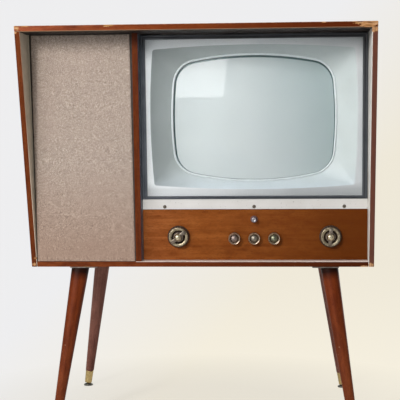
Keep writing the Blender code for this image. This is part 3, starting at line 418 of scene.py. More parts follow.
def bridge(bm, rings, closed=False, slots=()):
    """Rings of the same number of points, joined in order. slots gives each band's finish."""
    loops = [[bm.verts.new(point) for point in ring] for ring in rings]
    pairs = list(zip(loops, loops[1:] + loops[:1])) if closed else list(zip(loops, loops[1:]))
    for band, (first, second) in enumerate(pairs):
        for i in range(len(first)):
            j = (i + 1) % len(first)
            face = bm.faces.new((first[i], first[j], second[j], second[i]))
            face.material_index = slots[band] if slots else 0
    if not closed:
        ends = bm.faces.new(reversed(loops[0])), bm.faces.new(loops[-1])
        for face, band in zip(ends, (0, -1)):
            face.material_index = slots[band] if slots else 0
    return bm


def turned(profile, steps=TURN_STEPS, closed=False, slots=(), wave=None):
    """A profile of (radius, height) turned about Z. wave is its flutes: first point, last, count, depth."""
    bm = bmesh.new()
    rings = []
    for index, (radius, height) in enumerate(profile):
        if radius == 0:
            rings.append([bm.verts.new((0, 0, height))])
            continue
        ring = []
        for i in range(steps):
            turn = 2 * pi * i / steps
            reach = radius
            if wave and wave[0] <= index <= wave[1]:
                reach += wave[3] * cos(wave[2] * turn)
            ring.append(bm.verts.new((reach * cos(turn), reach * sin(turn), height)))
        rings.append(ring)
    pairs = list(zip(rings, rings[1:] + rings[:1])) if closed else list(zip(rings, rings[1:]))
    for band, (first, second) in enumerate(pairs):
        if len(first) == 1 and len(second) == 1:
            continue
        for i in range(steps):
            j = (i + 1) % steps
            corners = [first[i % len(first)], first[j % len(first)]]
            corners += [second[j % len(second)], second[i % len(second)]]
            face = bm.faces.new([v for k, v in enumerate(corners) if v not in corners[:k]])
            face.material_index = slots[band] if slots else 0
    return bm


def rounded(profile, radius, slots=()):
    """The profile with every corner inside it turned into an arc; bands keep their finish."""
    made, bands = [profile[0]], []
    for k in range(1, len(profile) - 1):
        before, here, after = (Vector(profile[i]) for i in (k - 1, k, k + 1))
        into, out = (before - here), (after - here)
        reach = min(radius, into.length * 0.45, out.length * 0.45)
        start, end = here + into.normalized() * reach, here + out.normalized() * reach
        for i in range(CORNER_STEPS + 1):
            t = i / CORNER_STEPS
            made.append(tuple(start * (1 - t) ** 2 + here * (2 * t * (1 - t)) + end * t * t))
            bands.append(slots[k - 1] if slots else 0)
    made.append(profile[-1])
    bands.append(slots[-1] if slots else 0)
    return (made, bands) if slots else made


def block(low, high):
    corners = ((low[0], low[1]), (high[0], low[1]), (high[0], high[1]), (low[0], high[1]))
    return bridge(bmesh.new(), [[(x, y, z) for x, y in corners] for z in (low[2], high[2])])


def mm(*points):
    """A profile given in millimetres."""
    return [(radius / 1000, height / 1000) for radius, height in points]


def carve(target, tool_bm, at=Matrix.Identity(4)):
    """Cuts a solid out of a piece."""
    bmesh.ops.recalc_face_normals(tool_bm, faces=tool_bm.faces)
    tool = placed("tool", mesh_of("tool", tool_bm), target.matrix_world @ at)
    step = target.modifiers.new("cut", "BOOLEAN")
    step.object, step.operation, step.solver = tool, "DIFFERENCE", "EXACT"
    bpy.context.view_layer.update()
    graph = bpy.context.evaluated_depsgraph_get()
    made = bpy.data.meshes.new_from_object(target.evaluated_get(graph), depsgraph=graph)
    target.modifiers.clear()
    target.data = made
    bpy.data.objects.remove(tool)
    return target


def outward(x, height, proud=0.0):
    """The frame of a control: its Z points out of the bay's face, its origin on the face."""
    return BAY @ Matrix.Translation((x, -proud, height)) @ Matrix.Rotation(radians(90), 4, "X")


def rearward(x, y, z):
    """A frame on the back of the set whose Z points away from it."""
    return Matrix.Translation((x, y, z)) @ Matrix.Rotation(radians(-90), 4, "X")


def behind(node, y):
    """The same, over the middle of a CAD node."""
    low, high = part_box(node)
    return rearward((low.x + high.x) / 2, y, (low.z + high.z) / 2)


def left_x(z):
    """Where the slanting left side's outer face is at a height."""
    return -HALF_WIDTH + LEFT_SLANT * (TOP_Z - z) / (TOP_Z - BASE_Z)


def screen_outline(half_width, half_height, side_radius, top_radius, corner):
    """A bulging rectangle: long arcs on its four sides, joined by tangent corner arcs."""
    side_centre = Vector((half_width - side_radius, 0))
    top_centre = Vector((0, half_height - top_radius))
    near, far = side_radius - corner, top_radius - corner
    span = top_centre - side_centre
    along = (near * near - far * far + span.length_squared) / (2 * span.length)
    across = (near * near - along * along) ** 0.5
    unit = span.normalized()
    corner_centre = side_centre + unit * along + Vector((unit.y, -unit.x)) * across
    if corner_centre.x < 0 or corner_centre.y < 0:
        corner_centre = side_centre + unit * along - Vector((unit.y, -unit.x)) * across
    low = atan2(corner_centre.y, corner_centre.x - side_centre.x)
    high = atan2(corner_centre.y - top_centre.y, corner_centre.x)
    arcs = (
        (side_centre, side_radius, 0, low, OUTLINE_STEPS),
        (corner_centre, corner, low, high, OUTLINE_STEPS),
        (top_centre, top_radius, high, pi / 2, OUTLINE_STEPS),
    )
    quarter = []
    for centre, radius, start, end, steps in arcs:
        for i in range(steps):
            turn = start + (end - start) * i / steps
            quarter.append((centre.x + radius * cos(turn), centre.y + radius * sin(turn)))
    quarter.append((0.0, half_height))
    upper = quarter + [(-x, y) for x, y in reversed(quarter[:-1])]
    return upper + [(x, -y) for x, y in reversed(upper[1:-1])]


def screen_ring(dims, depth, height=SCREEN_HEIGHT, scale=1.0, shift=(0, 0)):
    """A screen outline in the bay, at a depth that may change with the place on it."""
    ring = []
    for x, z in screen_outline(*dims):
        x, z = x * scale + shift[0], z * scale + shift[1]
        ring.append((x, depth(x, z) if callable(depth) else depth, height + z))
    return ring


def grown(dims, margin):
    return (dims[0] + margin, dims[1] + margin, dims[2], dims[3], max(dims[4] + margin, 0.001))


def face_depth(x, z):
    return FACE_CROWN + (x * x + z * z) / (2 * FACE_RADIUS)


def rectangle_ring(left, right, bottom, top, depth):
    return [(right, depth, bottom), (right, depth, top), (left, depth, top), (left, depth, bottom)]


def paint_node(name, finish):
    """Gives a carried CAD node its finish."""
    mesh = NODES[name].data
    mesh.materials.clear()
    mesh.materials.append(finish)


# ---------------------------------------------------------------- cabinet
def make_cabinet():
    """The carried boards, each painted from the planes of its faces."""
    rise = TOP_Z - BASE_Z
    lean = (FRONT_TOP_Y - FRONT_BASE_Y) / rise
    length = hypot(1, lean)
    front = (0, 1 / length, -lean / length)
    front_offset = (FRONT_BASE_Y - lean * BASE_Z) / length
    slant = LEFT_SLANT / rise
    size = hypot(1, slant)
    left = (1 / size, 0, slant / size)
    left_offset = (left_x(BASE_Z) + slant * BASE_Z) / size
    inner_left = ((-left[0], 0, -left[2]), -left_offset - BOARD / size)
    faces = {
        "front": (front, front_offset),
        "back": ((0, -1, 0), -REAR_Y),
        "left": (left, left_offset),
        "right": ((-1, 0, 0), -HALF_WIDTH),
        "top": ((0, 0, -1), -TOP_Z),
        "base": (Z, BASE_Z),
        "ceiling": (Z, CEILING_Z),
        "floor": ((0, 0, -1), -FLOOR_Z),
        "inner_right": (X, RIGHT_INNER_X),
        "inner_left": inner_left,
    }
    tl, tr = (Vector((x, FRONT_TOP_Y, TOP_Z)) for x in (-HALF_WIDTH, HALF_WIDTH))
    bl, br = (Vector((x, FRONT_BASE_Y, BASE_Z)) for x in (left_x(BASE_Z), HALF_WIDTH))

    def chips(*rows):
        """From (corner, right of it, above it, half width, half height)."""
        return [(corner + Vector((x, 0, z)), (rx, 0.02, rz)) for corner, x, z, rx, rz in rows]

    def board(node, name, axis, level, seed, names, films, wear_and_shade, wear=0.5, **more):
        planes = [faces[n] for n in names.split()]
        tones, nose = toned(VENEER, level), faces["front"]
        paint_node(node, wood(name, axis, tones, seed, 0.36, planes, films, wear_and_shade, wear, nose, **more))

    # The top board's ceiling is near black as painted shade. Its wear of 0.9 rubs its edges pale, and along
    # the top arris that pale line is also a painted highlight.
    board("top_panel", "veneer_top", X, 1.35, 0.3, "front back left right top ceiling",
          [(faces["ceiling"], *CEILING_SHADE)],
          chips((tl, 0.006, -0.005, 0.0065, 0.0055), (tl, 0.024, 0.001, 0.018, 0.0045),
                (tl, 0.214, 0.001, 0.016, 0.007), (tr, -0.02, -0.005, 0.024, 0.012),
                (tr, -0.046, -0.001, 0.012, 0.006), (tr, -0.12, 0.001, 0.01, 0.0045)),
          0.9, shares=TOP_PAINTED_LIGHT)
    up = (0, lean, 1)
    board("left_side_panel", "veneer_left", up, 0.7, 1.1, "front back left inner_left base",
          [(inner_left, *SHADED_CREAM)],
          chips((tl, 0.003, -0.015, 0.0035, 0.0045), (bl, 0.006, 0.006, 0.005, 0.004),
                (bl, 0.01, 0.021, 0.004, 0.003)))
    board("right_side_panel", "veneer_right", up, 1.15, 2.2, "front back right inner_right base",
          [(faces["inner_right"], *CREAM)],
          chips((tr, -0.008, -0.018, 0.01, 0.008), (br, -0.006, 0.004, 0.009, 0.006)),
          gloss=0.6, shade=(-0.3, 0.62))
    foot_films = [(faces["floor"], *CREAM_FLOOR, (DIVIDER_LOW.x, 1)),
                  (faces["floor"], *FOOT_BROWN, (DIVIDER_LOW.x, -1))]
    board("bottom_panel", "veneer_base", X, 1.12, 3.7, "front back base floor", foot_films,
          chips((br, -0.024, -0.001, 0.014, 0.005), (bl, 0.13, -0.001, 0.012, 0.004)), shares=BASE_PAINTED_LIGHT)
    divider = [(X, DIVIDER_LOW.x), ((-1, 0, 0), -DIVIDER_HIGH.x)]
    corners = [v.co for v in NODES["divider_panel"].data.vertices]
    foot = min((c for c in corners if c.z < FLOOR_Z + 0.01), key=lambda c: c.y)
    head = min((c for c in corners if c.z > CEILING_Z - 0.01), key=lambda c: c.y)
    tilt = (head.y - foot.y) / (head.z - foot.z)
    size = hypot(1, tilt)
    divider_nose = (0, 1 / size, -tilt / size), (foot.y - tilt * foot.z) / size
    paint_node("divider_panel", wood("veneer_divider", up, toned(VENEER, 0.8), 4.6, 0.36, divider,
                                     [(divider[1], *SLATE)], (), 0.4, divider_nose))
    paint_node("control_panel", wood("veneer_panel", X, toned(PANEL_VENEER, 1.2), 5.5, 0.4,
                                     shade=(0.02, 0.42), shares=PANEL_PAINTED_LIGHT))


# ---------------------------------------------------------------- speaker bay
def make_cloth():
    """The woven cloth over the baffle: a coarse twill with slubs, turned in at its edges."""
    pitch, relief, thick = 0.0013, 0.00032, 0.0015
    low, high = FLOOR_Z + 0.0006, CEILING_Z - 0.002
    margin_left, margin_right = (0.002, 0.0095), (0.0022, 0.0062)  # bare baffle beside its foot and its top
    lean = (CLOTH_LOW.y - (CLOTH_HIGH.y - thick)) / (CLOTH_HIGH.z - CLOTH_LOW.z)
    rows = ceil((high - low) / pitch)
    columns = ceil((CLOTH_HIGH.x - left_x(high) - BOARD) / pitch)
    bm = bmesh.new()
    grid = []
    for j in range(rows + 1):
        z = low + (high - low) * j / rows
        share = j / rows
        left = left_x(z) + BOARD + margin_left[0] + (margin_left[1] - margin_left[0]) * share
        right = CLOTH_HIGH.x - margin_right[0] - (margin_right[1] - margin_right[0]) * share
        line = []
        for i in range(columns + 1):
            x = left + (right - left) * i / columns
            weave = cos(2 * pi * (x + z) / 0.0042) * cos(2 * pi * (x - z) / 0.0046)
            slub = 0.8 * noise.noise((x * 620, z * 620, 1.7)) + 0.3 * noise.noise((x * 260, z * 320, 5.1))
            height = relief * (0.55 * weave + 0.9 * slub - 0.9)
            edge = min(i, columns - i, rows - j)
            if edge < 2:
                height -= 0.0006 * (2 - edge)
            y = CLOTH_HIGH.y - thick + lean * (z - CLOTH_LOW.z) - height
            line.append(bm.verts.new((x, y, z)))
        grid.append(line)
    for below, above in zip(grid, grid[1:]):
        for i in range(columns):
            bm.faces.new((below[i], below[i + 1], above[i + 1], above[i]))
    made = piece("grille_weave", bm, cloth_finish(), smooth=80,
                 stands_for="grille_cloth")


def cloth_finish():
    paint = Paint("speaker_cloth", 0.9, Sheen_Weight=0.15, Sheen_Roughness=0.6)
    warp = paint.noise(paint.sized((0.003, 0.01, 0.0014), (1, 0, 1)), 2, 0.6)
    weft = paint.noise(paint.sized((0.0027, 0.01, 0.0013), (1, 0, -1)), 2, 0.6)
    fleck = paint.spots(0.0018, 2, 0.6)
    slow = paint.noise(paint.sized((0.09, 0.05, 0.14)), 2, 0.5)
    thread = paint.math("ADD", paint.math("MULTIPLY", warp, 0.5), paint.math("MULTIPLY", weft, 0.5))
    for way, pitch in (((1, 0, 0.9), 0.0041), ((1, 0, -0.85), 0.0047)):
        twill = paint.math("SINE", paint.math("MULTIPLY", paint.dot(way), 2 * pi / pitch))
        thread = paint.math("MULTIPLY_ADD", twill, 0.03, thread)
    body = paint.ramp(thread, (0.38, (0.235, 0.182, 0.148)), (0.5, (0.405, 0.315, 0.26)),
                      (0.62, (0.59, 0.48, 0.405)))
    body = paint.blend(paint.span(fleck, 0.55, 0.68, 0.0, 0.85), body, (0.76, 0.67, 0.58))
    body = paint.blend(paint.span(fleck, 0.45, 0.33, 0.0, 0.8), body, (0.125, 0.092, 0.072))
    body = paint.blend(paint.span(slow, 0.35, 0.65, 0.0, 0.22), body, (0.46, 0.35, 0.3))
    body = paint.blend(paint.span(paint.dot(Z), 0.62, 0.42), body, (0.86, 0.74, 0.67), "MULTIPLY")
    return paint.done(body, None, paint.bump(thread, 0.0004, 0.6))


# ---------------------------------------------------------------- screen bay
def make_mask():
    """The pressed surround: a flat border, a slope down to the picture and a rolled bead round it."""
    border = ((BAY_RIGHT - BAY_LEFT) / 2 - 0.004, 0.1925, 60.0, 60.0, 0.0015)
    border_height = 0.339
    outer = screen_outline(*RECESS)
    lip = screen_outline(*APERTURE)
    rings = [screen_ring(border, MASK_FACE, border_height),
             screen_ring(grown(RECESS, 0.0016), MASK_FACE, RECESS_HEIGHT),
             screen_ring(grown(RECESS, 0.0003), MASK_FACE + 0.0003, RECESS_HEIGHT)]
    for share in (0.025, 0.05, 0.1, 0.25, 0.45, 0.65, 0.82, 0.93, 1.0):
        ring = []
        for (x0, z0), (x1, z1) in zip(outer, lip):
            depth = MASK_FACE + (face_depth(x1, z1) - 0.0055 - MASK_FACE) * share
            depth += 0.0016 * sin(pi * share)
            z0, z1 = RECESS_HEIGHT + z0, SCREEN_HEIGHT + z1
            ring.append((x0 + (x1 - x0) * share, depth, z0 + (z1 - z0) * share))
        rings.append(ring)
    bead = ((0.0005, 0.0064), (0.0013, 0.007), (0.0023, 0.0072), (0.0033, 0.0069), (0.0042, 0.006))
    bead += ((0.0048, 0.0046), (0.005, 0.0028), (0.005, 0.0012), (0.0034, 0.001))
    for inset, proud in (*bead, (-0.0015, 0.001)):
        rings.append(screen_ring(grown(APERTURE, -inset), lambda x, z: face_depth(x, z) - proud))
    rings.append(screen_ring(grown(RECESS, 0.0012), MASK_FACE + MASK_SHEET, RECESS_HEIGHT))
    rings.append(screen_ring(border, MASK_FACE + MASK_SHEET, border_height))
    slots = [0, 0] + [1] * 9 + [2] * 9 + [0] * 4
    # The border's near-white paint is partly painted light and the slope's much darker paint partly painted
    # shade, with the painted light and shade of the shares added on top.
    finishes = [painted_metal(name, light, dark, rough, shares) for name, light, dark, rough, shares in (
        ("mask_enamel", (0.925, 0.95, 0.96), (0.86, 0.9, 0.915), 0.42, BORDER_PAINTED_LIGHT),
        ("mask_slope", (0.52, 0.575, 0.57), (0.46, 0.51, 0.5), 0.46, SLOPE_PAINTED_LIGHT),
        ("mask_bead", (0.78, 0.83, 0.845), (0.7, 0.76, 0.775), 0.26, BEAD_PAINTED_LIGHT))]
    piece("mask_shell", bridge(bmesh.new(), rings, closed=True, slots=slots), finishes, at=BAY, smooth=50,
          stands_for="picture_mask")


def make_tube():
    """The bulb: the picture in a ring of clear glass, the skirt, the funnel and the neck."""
    picture, rim = grown(APERTURE, -0.0078), grown(APERTURE, -0.0074)
    # The picture sits right of and below the middle of its ring of clear glass, so the dark ring is wider at
    # the top and left: painted shadow of the bead, over the real bare edge of the glass.
    centre = (0.0008, -0.0021)
    scales = (0.06, 0.2, 0.35, 0.5, 0.65, 0.8, 0.9, 1.0)
    rings = [screen_ring(picture, face_depth, scale=scale, shift=centre) for scale in scales]
    rings += [screen_ring(rim, face_depth, scale=1.0, shift=centre), screen_ring(TUBE_FACE, face_depth)]
    for dims, back in ((grown(TUBE_SKIRT, -0.0004), 0.0025), (TUBE_SKIRT, 0.006)):
        rings.append(screen_ring(dims, lambda x, z: face_depth(x, z) + back))
    rings += [screen_ring(TUBE_SKIRT, depth) for depth in (0.0615, 0.083)]
    slots = [0] * 7 + [1] * 6
    skirt = screen_outline(*TUBE_SKIRT)
    funnel = ((0.09, 0.985, 0.02), (0.096, 0.95, 0.06), (0.11, 0.875, 0.16), (0.125, 0.8, 0.25),
              (0.14, 0.72, 0.33), (0.165, 0.575, 0.52), (0.19, 0.43, 0.7), (0.212, 0.3, 0.88),
              (0.232, 0.2, 1.0))
    for depth, scale, roundness in funnel:
        ring = []
        for x, z in skirt:
            circle = scale * TUBE_SKIRT[0] * 0.92 / hypot(x, z)
            factor = scale * (1 - roundness) + circle * roundness
            ring.append((x * factor, depth, SCREEN_HEIGHT + z * factor))
        rings.append(ring)
        slots.append(2)
    neck = ((0.24, 0.0265), (0.245, 0.0205), (0.251, 0.0185), (0.415, 0.0185), (0.4155, 0.0205),
            (0.425, 0.0205))
    for depth, radius in neck:
        factors = [radius / hypot(x, z) for x, z in skirt]
        rings.append([(x * f, depth, SCREEN_HEIGHT + z * f) for (x, z), f in zip(skirt, factors)])
        slots.append(3)
    finishes = [phosphor_finish(), edge_glass_finish(), FINISHES["graphite_coat"], FINISHES["neck_glass"]]
    piece("picture_bulb", bridge(bmesh.new(), rings, slots=slots), finishes, at=BAY, smooth=35,
          stands_for="picture_tube")


SCREEN_LIGHT_SPAN = 0.08, 0.26  # how far across the screen the painted light goes from its bright left to its darker right


def phosphor_finish():
    paint = Paint("phosphor_behind_glass", 0.55, Coat_Weight=1.0, Coat_Roughness=0.03, Coat_IOR=1.52)
    slow = paint.spots(0.16, 2, 0.5)
    dust = paint.spots(0.004, 2, 0.4)
    # Painted reflection: the picture painted brighter at its left and darker towards its upper right,
    # standing in for the bright room it mirrors on the left.
    wear_and_shade = paint.ramp(slow, (0.3, (0.355, 0.438, 0.44)), (0.7, (0.395, 0.48, 0.485)))
    lit_left = paint.ramp(slow, (0.3, (0.505, 0.56, 0.562)), (0.7, (0.55, 0.605, 0.605)))
    body = paint.blend(paint.span(paint.dot((1, 0, 0.25)), *SCREEN_LIGHT_SPAN), lit_left, wear_and_shade)
    body = paint.blend(paint.span(dust, 0.72, 0.78, 0.0, 0.25), body, (0.55, 0.62, 0.6))
    fine = paint.spots(0.0006, 2, 0.5)
    return paint.done(body, paint.span(fine, 0.3, 0.7, 0.5, 0.62))


def edge_glass_finish():
    paint = Paint("tube_edge_glass", 0.22, Coat_Weight=0.6, Coat_Roughness=0.06)
    slow = paint.spots(0.05, 3, 0.5)
    body = paint.ramp(slow, (0.3, (0.04, 0.088, 0.09)), (0.7, (0.062, 0.12, 0.12)))
    return paint.done(body, paint.span(slow, 0.3, 0.7, 0.3, 0.18))


def make_gasket():
    """Two rubber ridges with a groove between them, round the safety glass."""
    left, right, low, high = GLASS_OPENING
    outer = (BAY_LEFT + GAP, BAY_RIGHT - GAP, *GASKET_HEIGHTS)

    def at(share, depth):
        return rectangle_ring(*(a + (b - a) * share for a, b in zip(outer, GLASS_OPENING)), depth)

    section = ((0.0, 0.0126), (0.0, 0.0012), (0.03, 0.0005), (0.09, 0.0001), (0.26, 0.0001), (0.34, 0.0006),
               (0.38, 0.0018), (0.46, 0.0022), (0.53, 0.0017), (0.57, 0.0006), (0.64, 0.0001), (0.88, 0.0001),
               (0.96, 0.0005), (1.0, 0.0014), (1.0, 0.0126))
    rings = [at(share, depth) for share, depth in section]
    bitten = (left - 0.006, right + 0.006, low - 0.0045, high + 0.008)  # how far the pane reaches in
    slot = [rectangle_ring(*bitten, depth) for depth in GLASS_SLOT]
    rings[-1:] = [at(1.0, GLASS_SLOT[0]), *slot, at(1.0, GLASS_SLOT[1]), at(1.0, 0.0126)]
    # Painted light and shade: the rubber painted lighter at its left and foot, darker at its right and along
    # its top.
    finish = matt("gasket_rubber", (0.062, 0.069, 0.08), (0.042, 0.047, 0.056), 0.36, 0.03,
                  shares=GASKET_PAINTED_LIGHT)
    piece("gasket_profile", bridge(bmesh.new(), rings, closed=True), finish, at=BAY, smooth=40,
          stands_for="glass_gasket")


def make_glass():
    """The flat pane, which lets the lamps through to the picture."""
    paint = Paint("safety_pane", 0.02, Transmission_Weight=1.0, IOR=1.45)
    film = paint.ramp(paint.spots(0.06, 3, 0.6), (0.3, (0.965, 0.975, 0.985)), (0.7, (0.985, 0.99, 0.995)))
    paint_node("safety_glass", paint.done(film))
    NODES["safety_glass"].visible_shadow = False


def slotted_screw(name, at, radius, rise, turn, stands_for=None, shank=0.0):
    """A domed head with a slot, and a shank behind it."""
    arc = [(radius * cos(t), rise * (0.25 + 0.75 * sin(t))) for t in (radians(a) for a in range(0, 90, 15))]
    foot = [(0, -shank), (0.0018, -shank), (0.0018, 0)] if shank else [(0, 0)]
    profile = [*foot, (radius * 0.98, 0), *arc, (0, rise)]
    made = piece(name, turned(profile, 32), FINISHES["screw_steel"], "cabinet", at, 40, stands_for)
    half = radius * 0.16
    cutter = block((-radius * 1.2, -half, rise * 0.45), (radius * 1.2, half, rise * 2))
    carve(made, cutter, Matrix.Rotation(turn, 4, "Z"))


def ring_piece(name, profile, soft, finish, at, smooth, stands_for=None, steps=64):
    """A turned piece with a hole through it. Its profile is a loop, with corners of radius soft."""
    bm = turned(rounded([*profile, profile[0]], soft)[:-1], steps, closed=True)
    piece(name, bm, finish, "cabinet", at, smooth, stands_for)


# ---------------------------------------------------------------- controls
def make_big_ring(name, stands_for, at, body):
    """The outer control: a dark fluted skirt under a flat brass-faced ring, with a bowl inside it."""
    profile = mm((3.4, -16), (5, -16), (5, 0.8), (26.2, 0.8), (26.2, 4), (24.3, 5.8), (24, 10),
                 (22.6, 10.6), (22.6, 13), (21.9, 13.4), (19.2, 13.3), (16.6, 12.6), (16, 12),
                 (15.8, 4.8), (3.4, 4.8), (3.4, -16))
    profile, slots = rounded(profile, 0.0005, slots=[1] * 7 + [0] * 5 + [1, 1, 2])
    flutes = [k for k, (r, h) in enumerate(profile) if r > 0.0232 and 0.0038 < h < 0.0105]
    wave = (flutes[0], flutes[-1], 24, 0.00045)
    bm = turned(profile[:-1], 192, closed=True, slots=slots, wave=wave)
    finishes = [FINISHES["aged_brass"], FINISHES["dark_brown"], FINISHES["bowl"]]
    piece(name, bm, finishes, body, at, 40, stands_for)


def make_bar_knob(name, stands_for, at, body, pointer, shaft_end):
    """The inner control: a dished disc in the bowl, a bar handle right across and a domed cap."""
    profile = mm((0, 23.6), (1.2, 23.5), (2.2, 23.7), (4, 23.2), (6, 22.1), (7.4, 20.5), (8.1, 18.6),
                 (8.3, 16.8), (8.3, 12.8), (9.8, 11.8), (11.2, 11.8), (11.8, 11), (12, 9.8), (13.5, 8.4),
                 (14.7, 7.8), (15, 7), (15, 5.6), (3, 5.6))
    profile += [(0.003, -shaft_end), (0, -shaft_end)]
    slots = [0] * 8 + [1, 2, 2, 1, 1, 1, 1, 1, 3, 3, 3]
    bm = turned(profile, TURN_STEPS, slots=slots)
    sections = 28
    rings = []
    for k in range(sections + 1):
        share = -1 + 2 * k / sections
        end = max(0.0, (abs(share) - 0.9) / 0.1)
        taper = (1 - end * end) ** 0.5 if end < 1 else 0.0
        half = (0.0047 - 0.0004 * abs(share)) * (0.45 + 0.55 * taper)
        top = 0.0182 - 0.0022 * share * share - 0.0012 * end * end
        base = 0.0137 + 0.0004 * end
        x = share * 0.0217
        ring = []
        for t in range(20):
            turn = 2 * pi * t / 20
            across, lift = cos(turn), sin(turn)
            across = abs(across) ** 0.45 * (1 if across > 0 else -1) * half
            lift = abs(lift) ** 0.55 * (1 if lift > 0 else -1)
            ring.append((x, across, (top + base) / 2 + lift * (top - base) / 2))
        rings.append(ring)
    disc_points = len(bm.verts)
    bridge(bm, rings, slots=[2] * sections)
    bmesh.ops.transform(bm, matrix=Matrix.Rotation(pointer, 4, "Z"), verts=list(bm.verts)[disc_points:])
    finishes = [FINISHES["cap_brass"], FINISHES["dark_brown"], FINISHES["bar_brass"], FINISHES["shaft_steel"]]
    piece(name, bm, finishes, body, at, 40, stands_for)


def make_small_knob(name, stands_for, at, body, dome):
    """A domed button in a dished brass rim."""
    profile = mm((0, 14.2), (1, 14.1), (2.8, 13.8), (5, 12.9), (7, 11.4), (8.3, 9.8), (8.6, 8.6),
                 (9.4, 8.5), (9.9, 10), (10.8, 10.9), (11.9, 12), (12.7, 12.9), (13.3, 13), (13.8, 12.1),
                 (13.8, 8), (13.3, 7), (13.3, 3), (13.7, 2), (13.7, 1.2), (3, 1.2), (3, -29.4),
                 (0, -29.4))
    slots = [0] * 5 + [1, 1, 1] + [2] * 6 + [1] * 5 + [3, 3]
    finishes = [dome, FINISHES["dark_brown"], FINISHES["rim_brass"], FINISHES["shaft_steel"]]
    piece(name, turned(profile, TURN_STEPS, slots=slots), finishes, body, at, 40, stands_for)


def make_controls():
    tuner, volume = outward(-BIG_KNOB_AT[0], BIG_KNOB_AT[1]), outward(*BIG_KNOB_AT)
    make_big_ring("fine_tuning_collar", "fine_tuning_ring", tuner, "fine_tuning")
    make_bar_knob("channel_handle", "channel_knob", tuner, "channel_selector", radians(40), 0.043)
    make_big_ring("tone_collar", "tone_ring", volume, "tone")
    make_bar_knob("volume_handle", "volume_knob", volume, "volume", radians(85), 0.0294)
    trio = (("contrast", "rose"), ("brightness", "bronze"), ("vertical_hold", "green"))
    for k, (body, dome) in enumerate(trio):
        at = outward((k - 1) * SMALL_KNOB_AT[0], SMALL_KNOB_AT[1])
        make_small_knob(f"{body}_button_knob", f"{body}_knob", at, body, FINISHES[f"dome_{dome}"])
    at = outward(0, BUTTON_HEIGHT)
    cap = mm((0, 11.8), (1, 11.9), (2, 12.4), (3, 13.2), (4, 13.6), (5, 13.4), (5.8, 12.7), (6.2, 11.7),
             (6.2, 4.2), (3, 4.2), (3, -26), (0, -26))
    finishes = [FINISHES["chrome_cap"], FINISHES["dark_brown"], FINISHES["bush"]]
    piece("mains_button_cap", turned(cap, 64, slots=[1] + [0] * 4 + [2] * 6), finishes, "mains_button", at,
          40, "push_button")
    bush = mm((6.7, 0.2), (8.3, 0.2), (8.3, 2.6), (7.8, 3.4), (7, 3.4), (6.7, 3))
    ring_piece("mains_button_bush", bush, 0.0003, FINISHES["bush"], at, 40)


def make_strip():
    """The carried strip, its arrises softened, and its three screws."""
    cream = painted_metal("strip_paint", (0.745, 0.725, 0.705), (0.665, 0.64, 0.61), 0.46)
    paint_node("retainer_strip", cream)
    soft = NODES["retainer_strip"].modifiers.new("soft_edges", "BEVEL")
    soft.width, soft.segments, soft.limit_method = 0.0005, 2, "ANGLE"
    for k, name in enumerate(("left", "middle", "right")):
        at = outward((k - 1) * STRIP_SCREW_AT[0], STRIP_SCREW_AT[1], 0.0018)
        slotted_screw(f"strip_fixing_{name}", at, 0.0041, 0.0021, radians(20 + 55 * k),
                      f"strip_screw_{name}", 0.012)


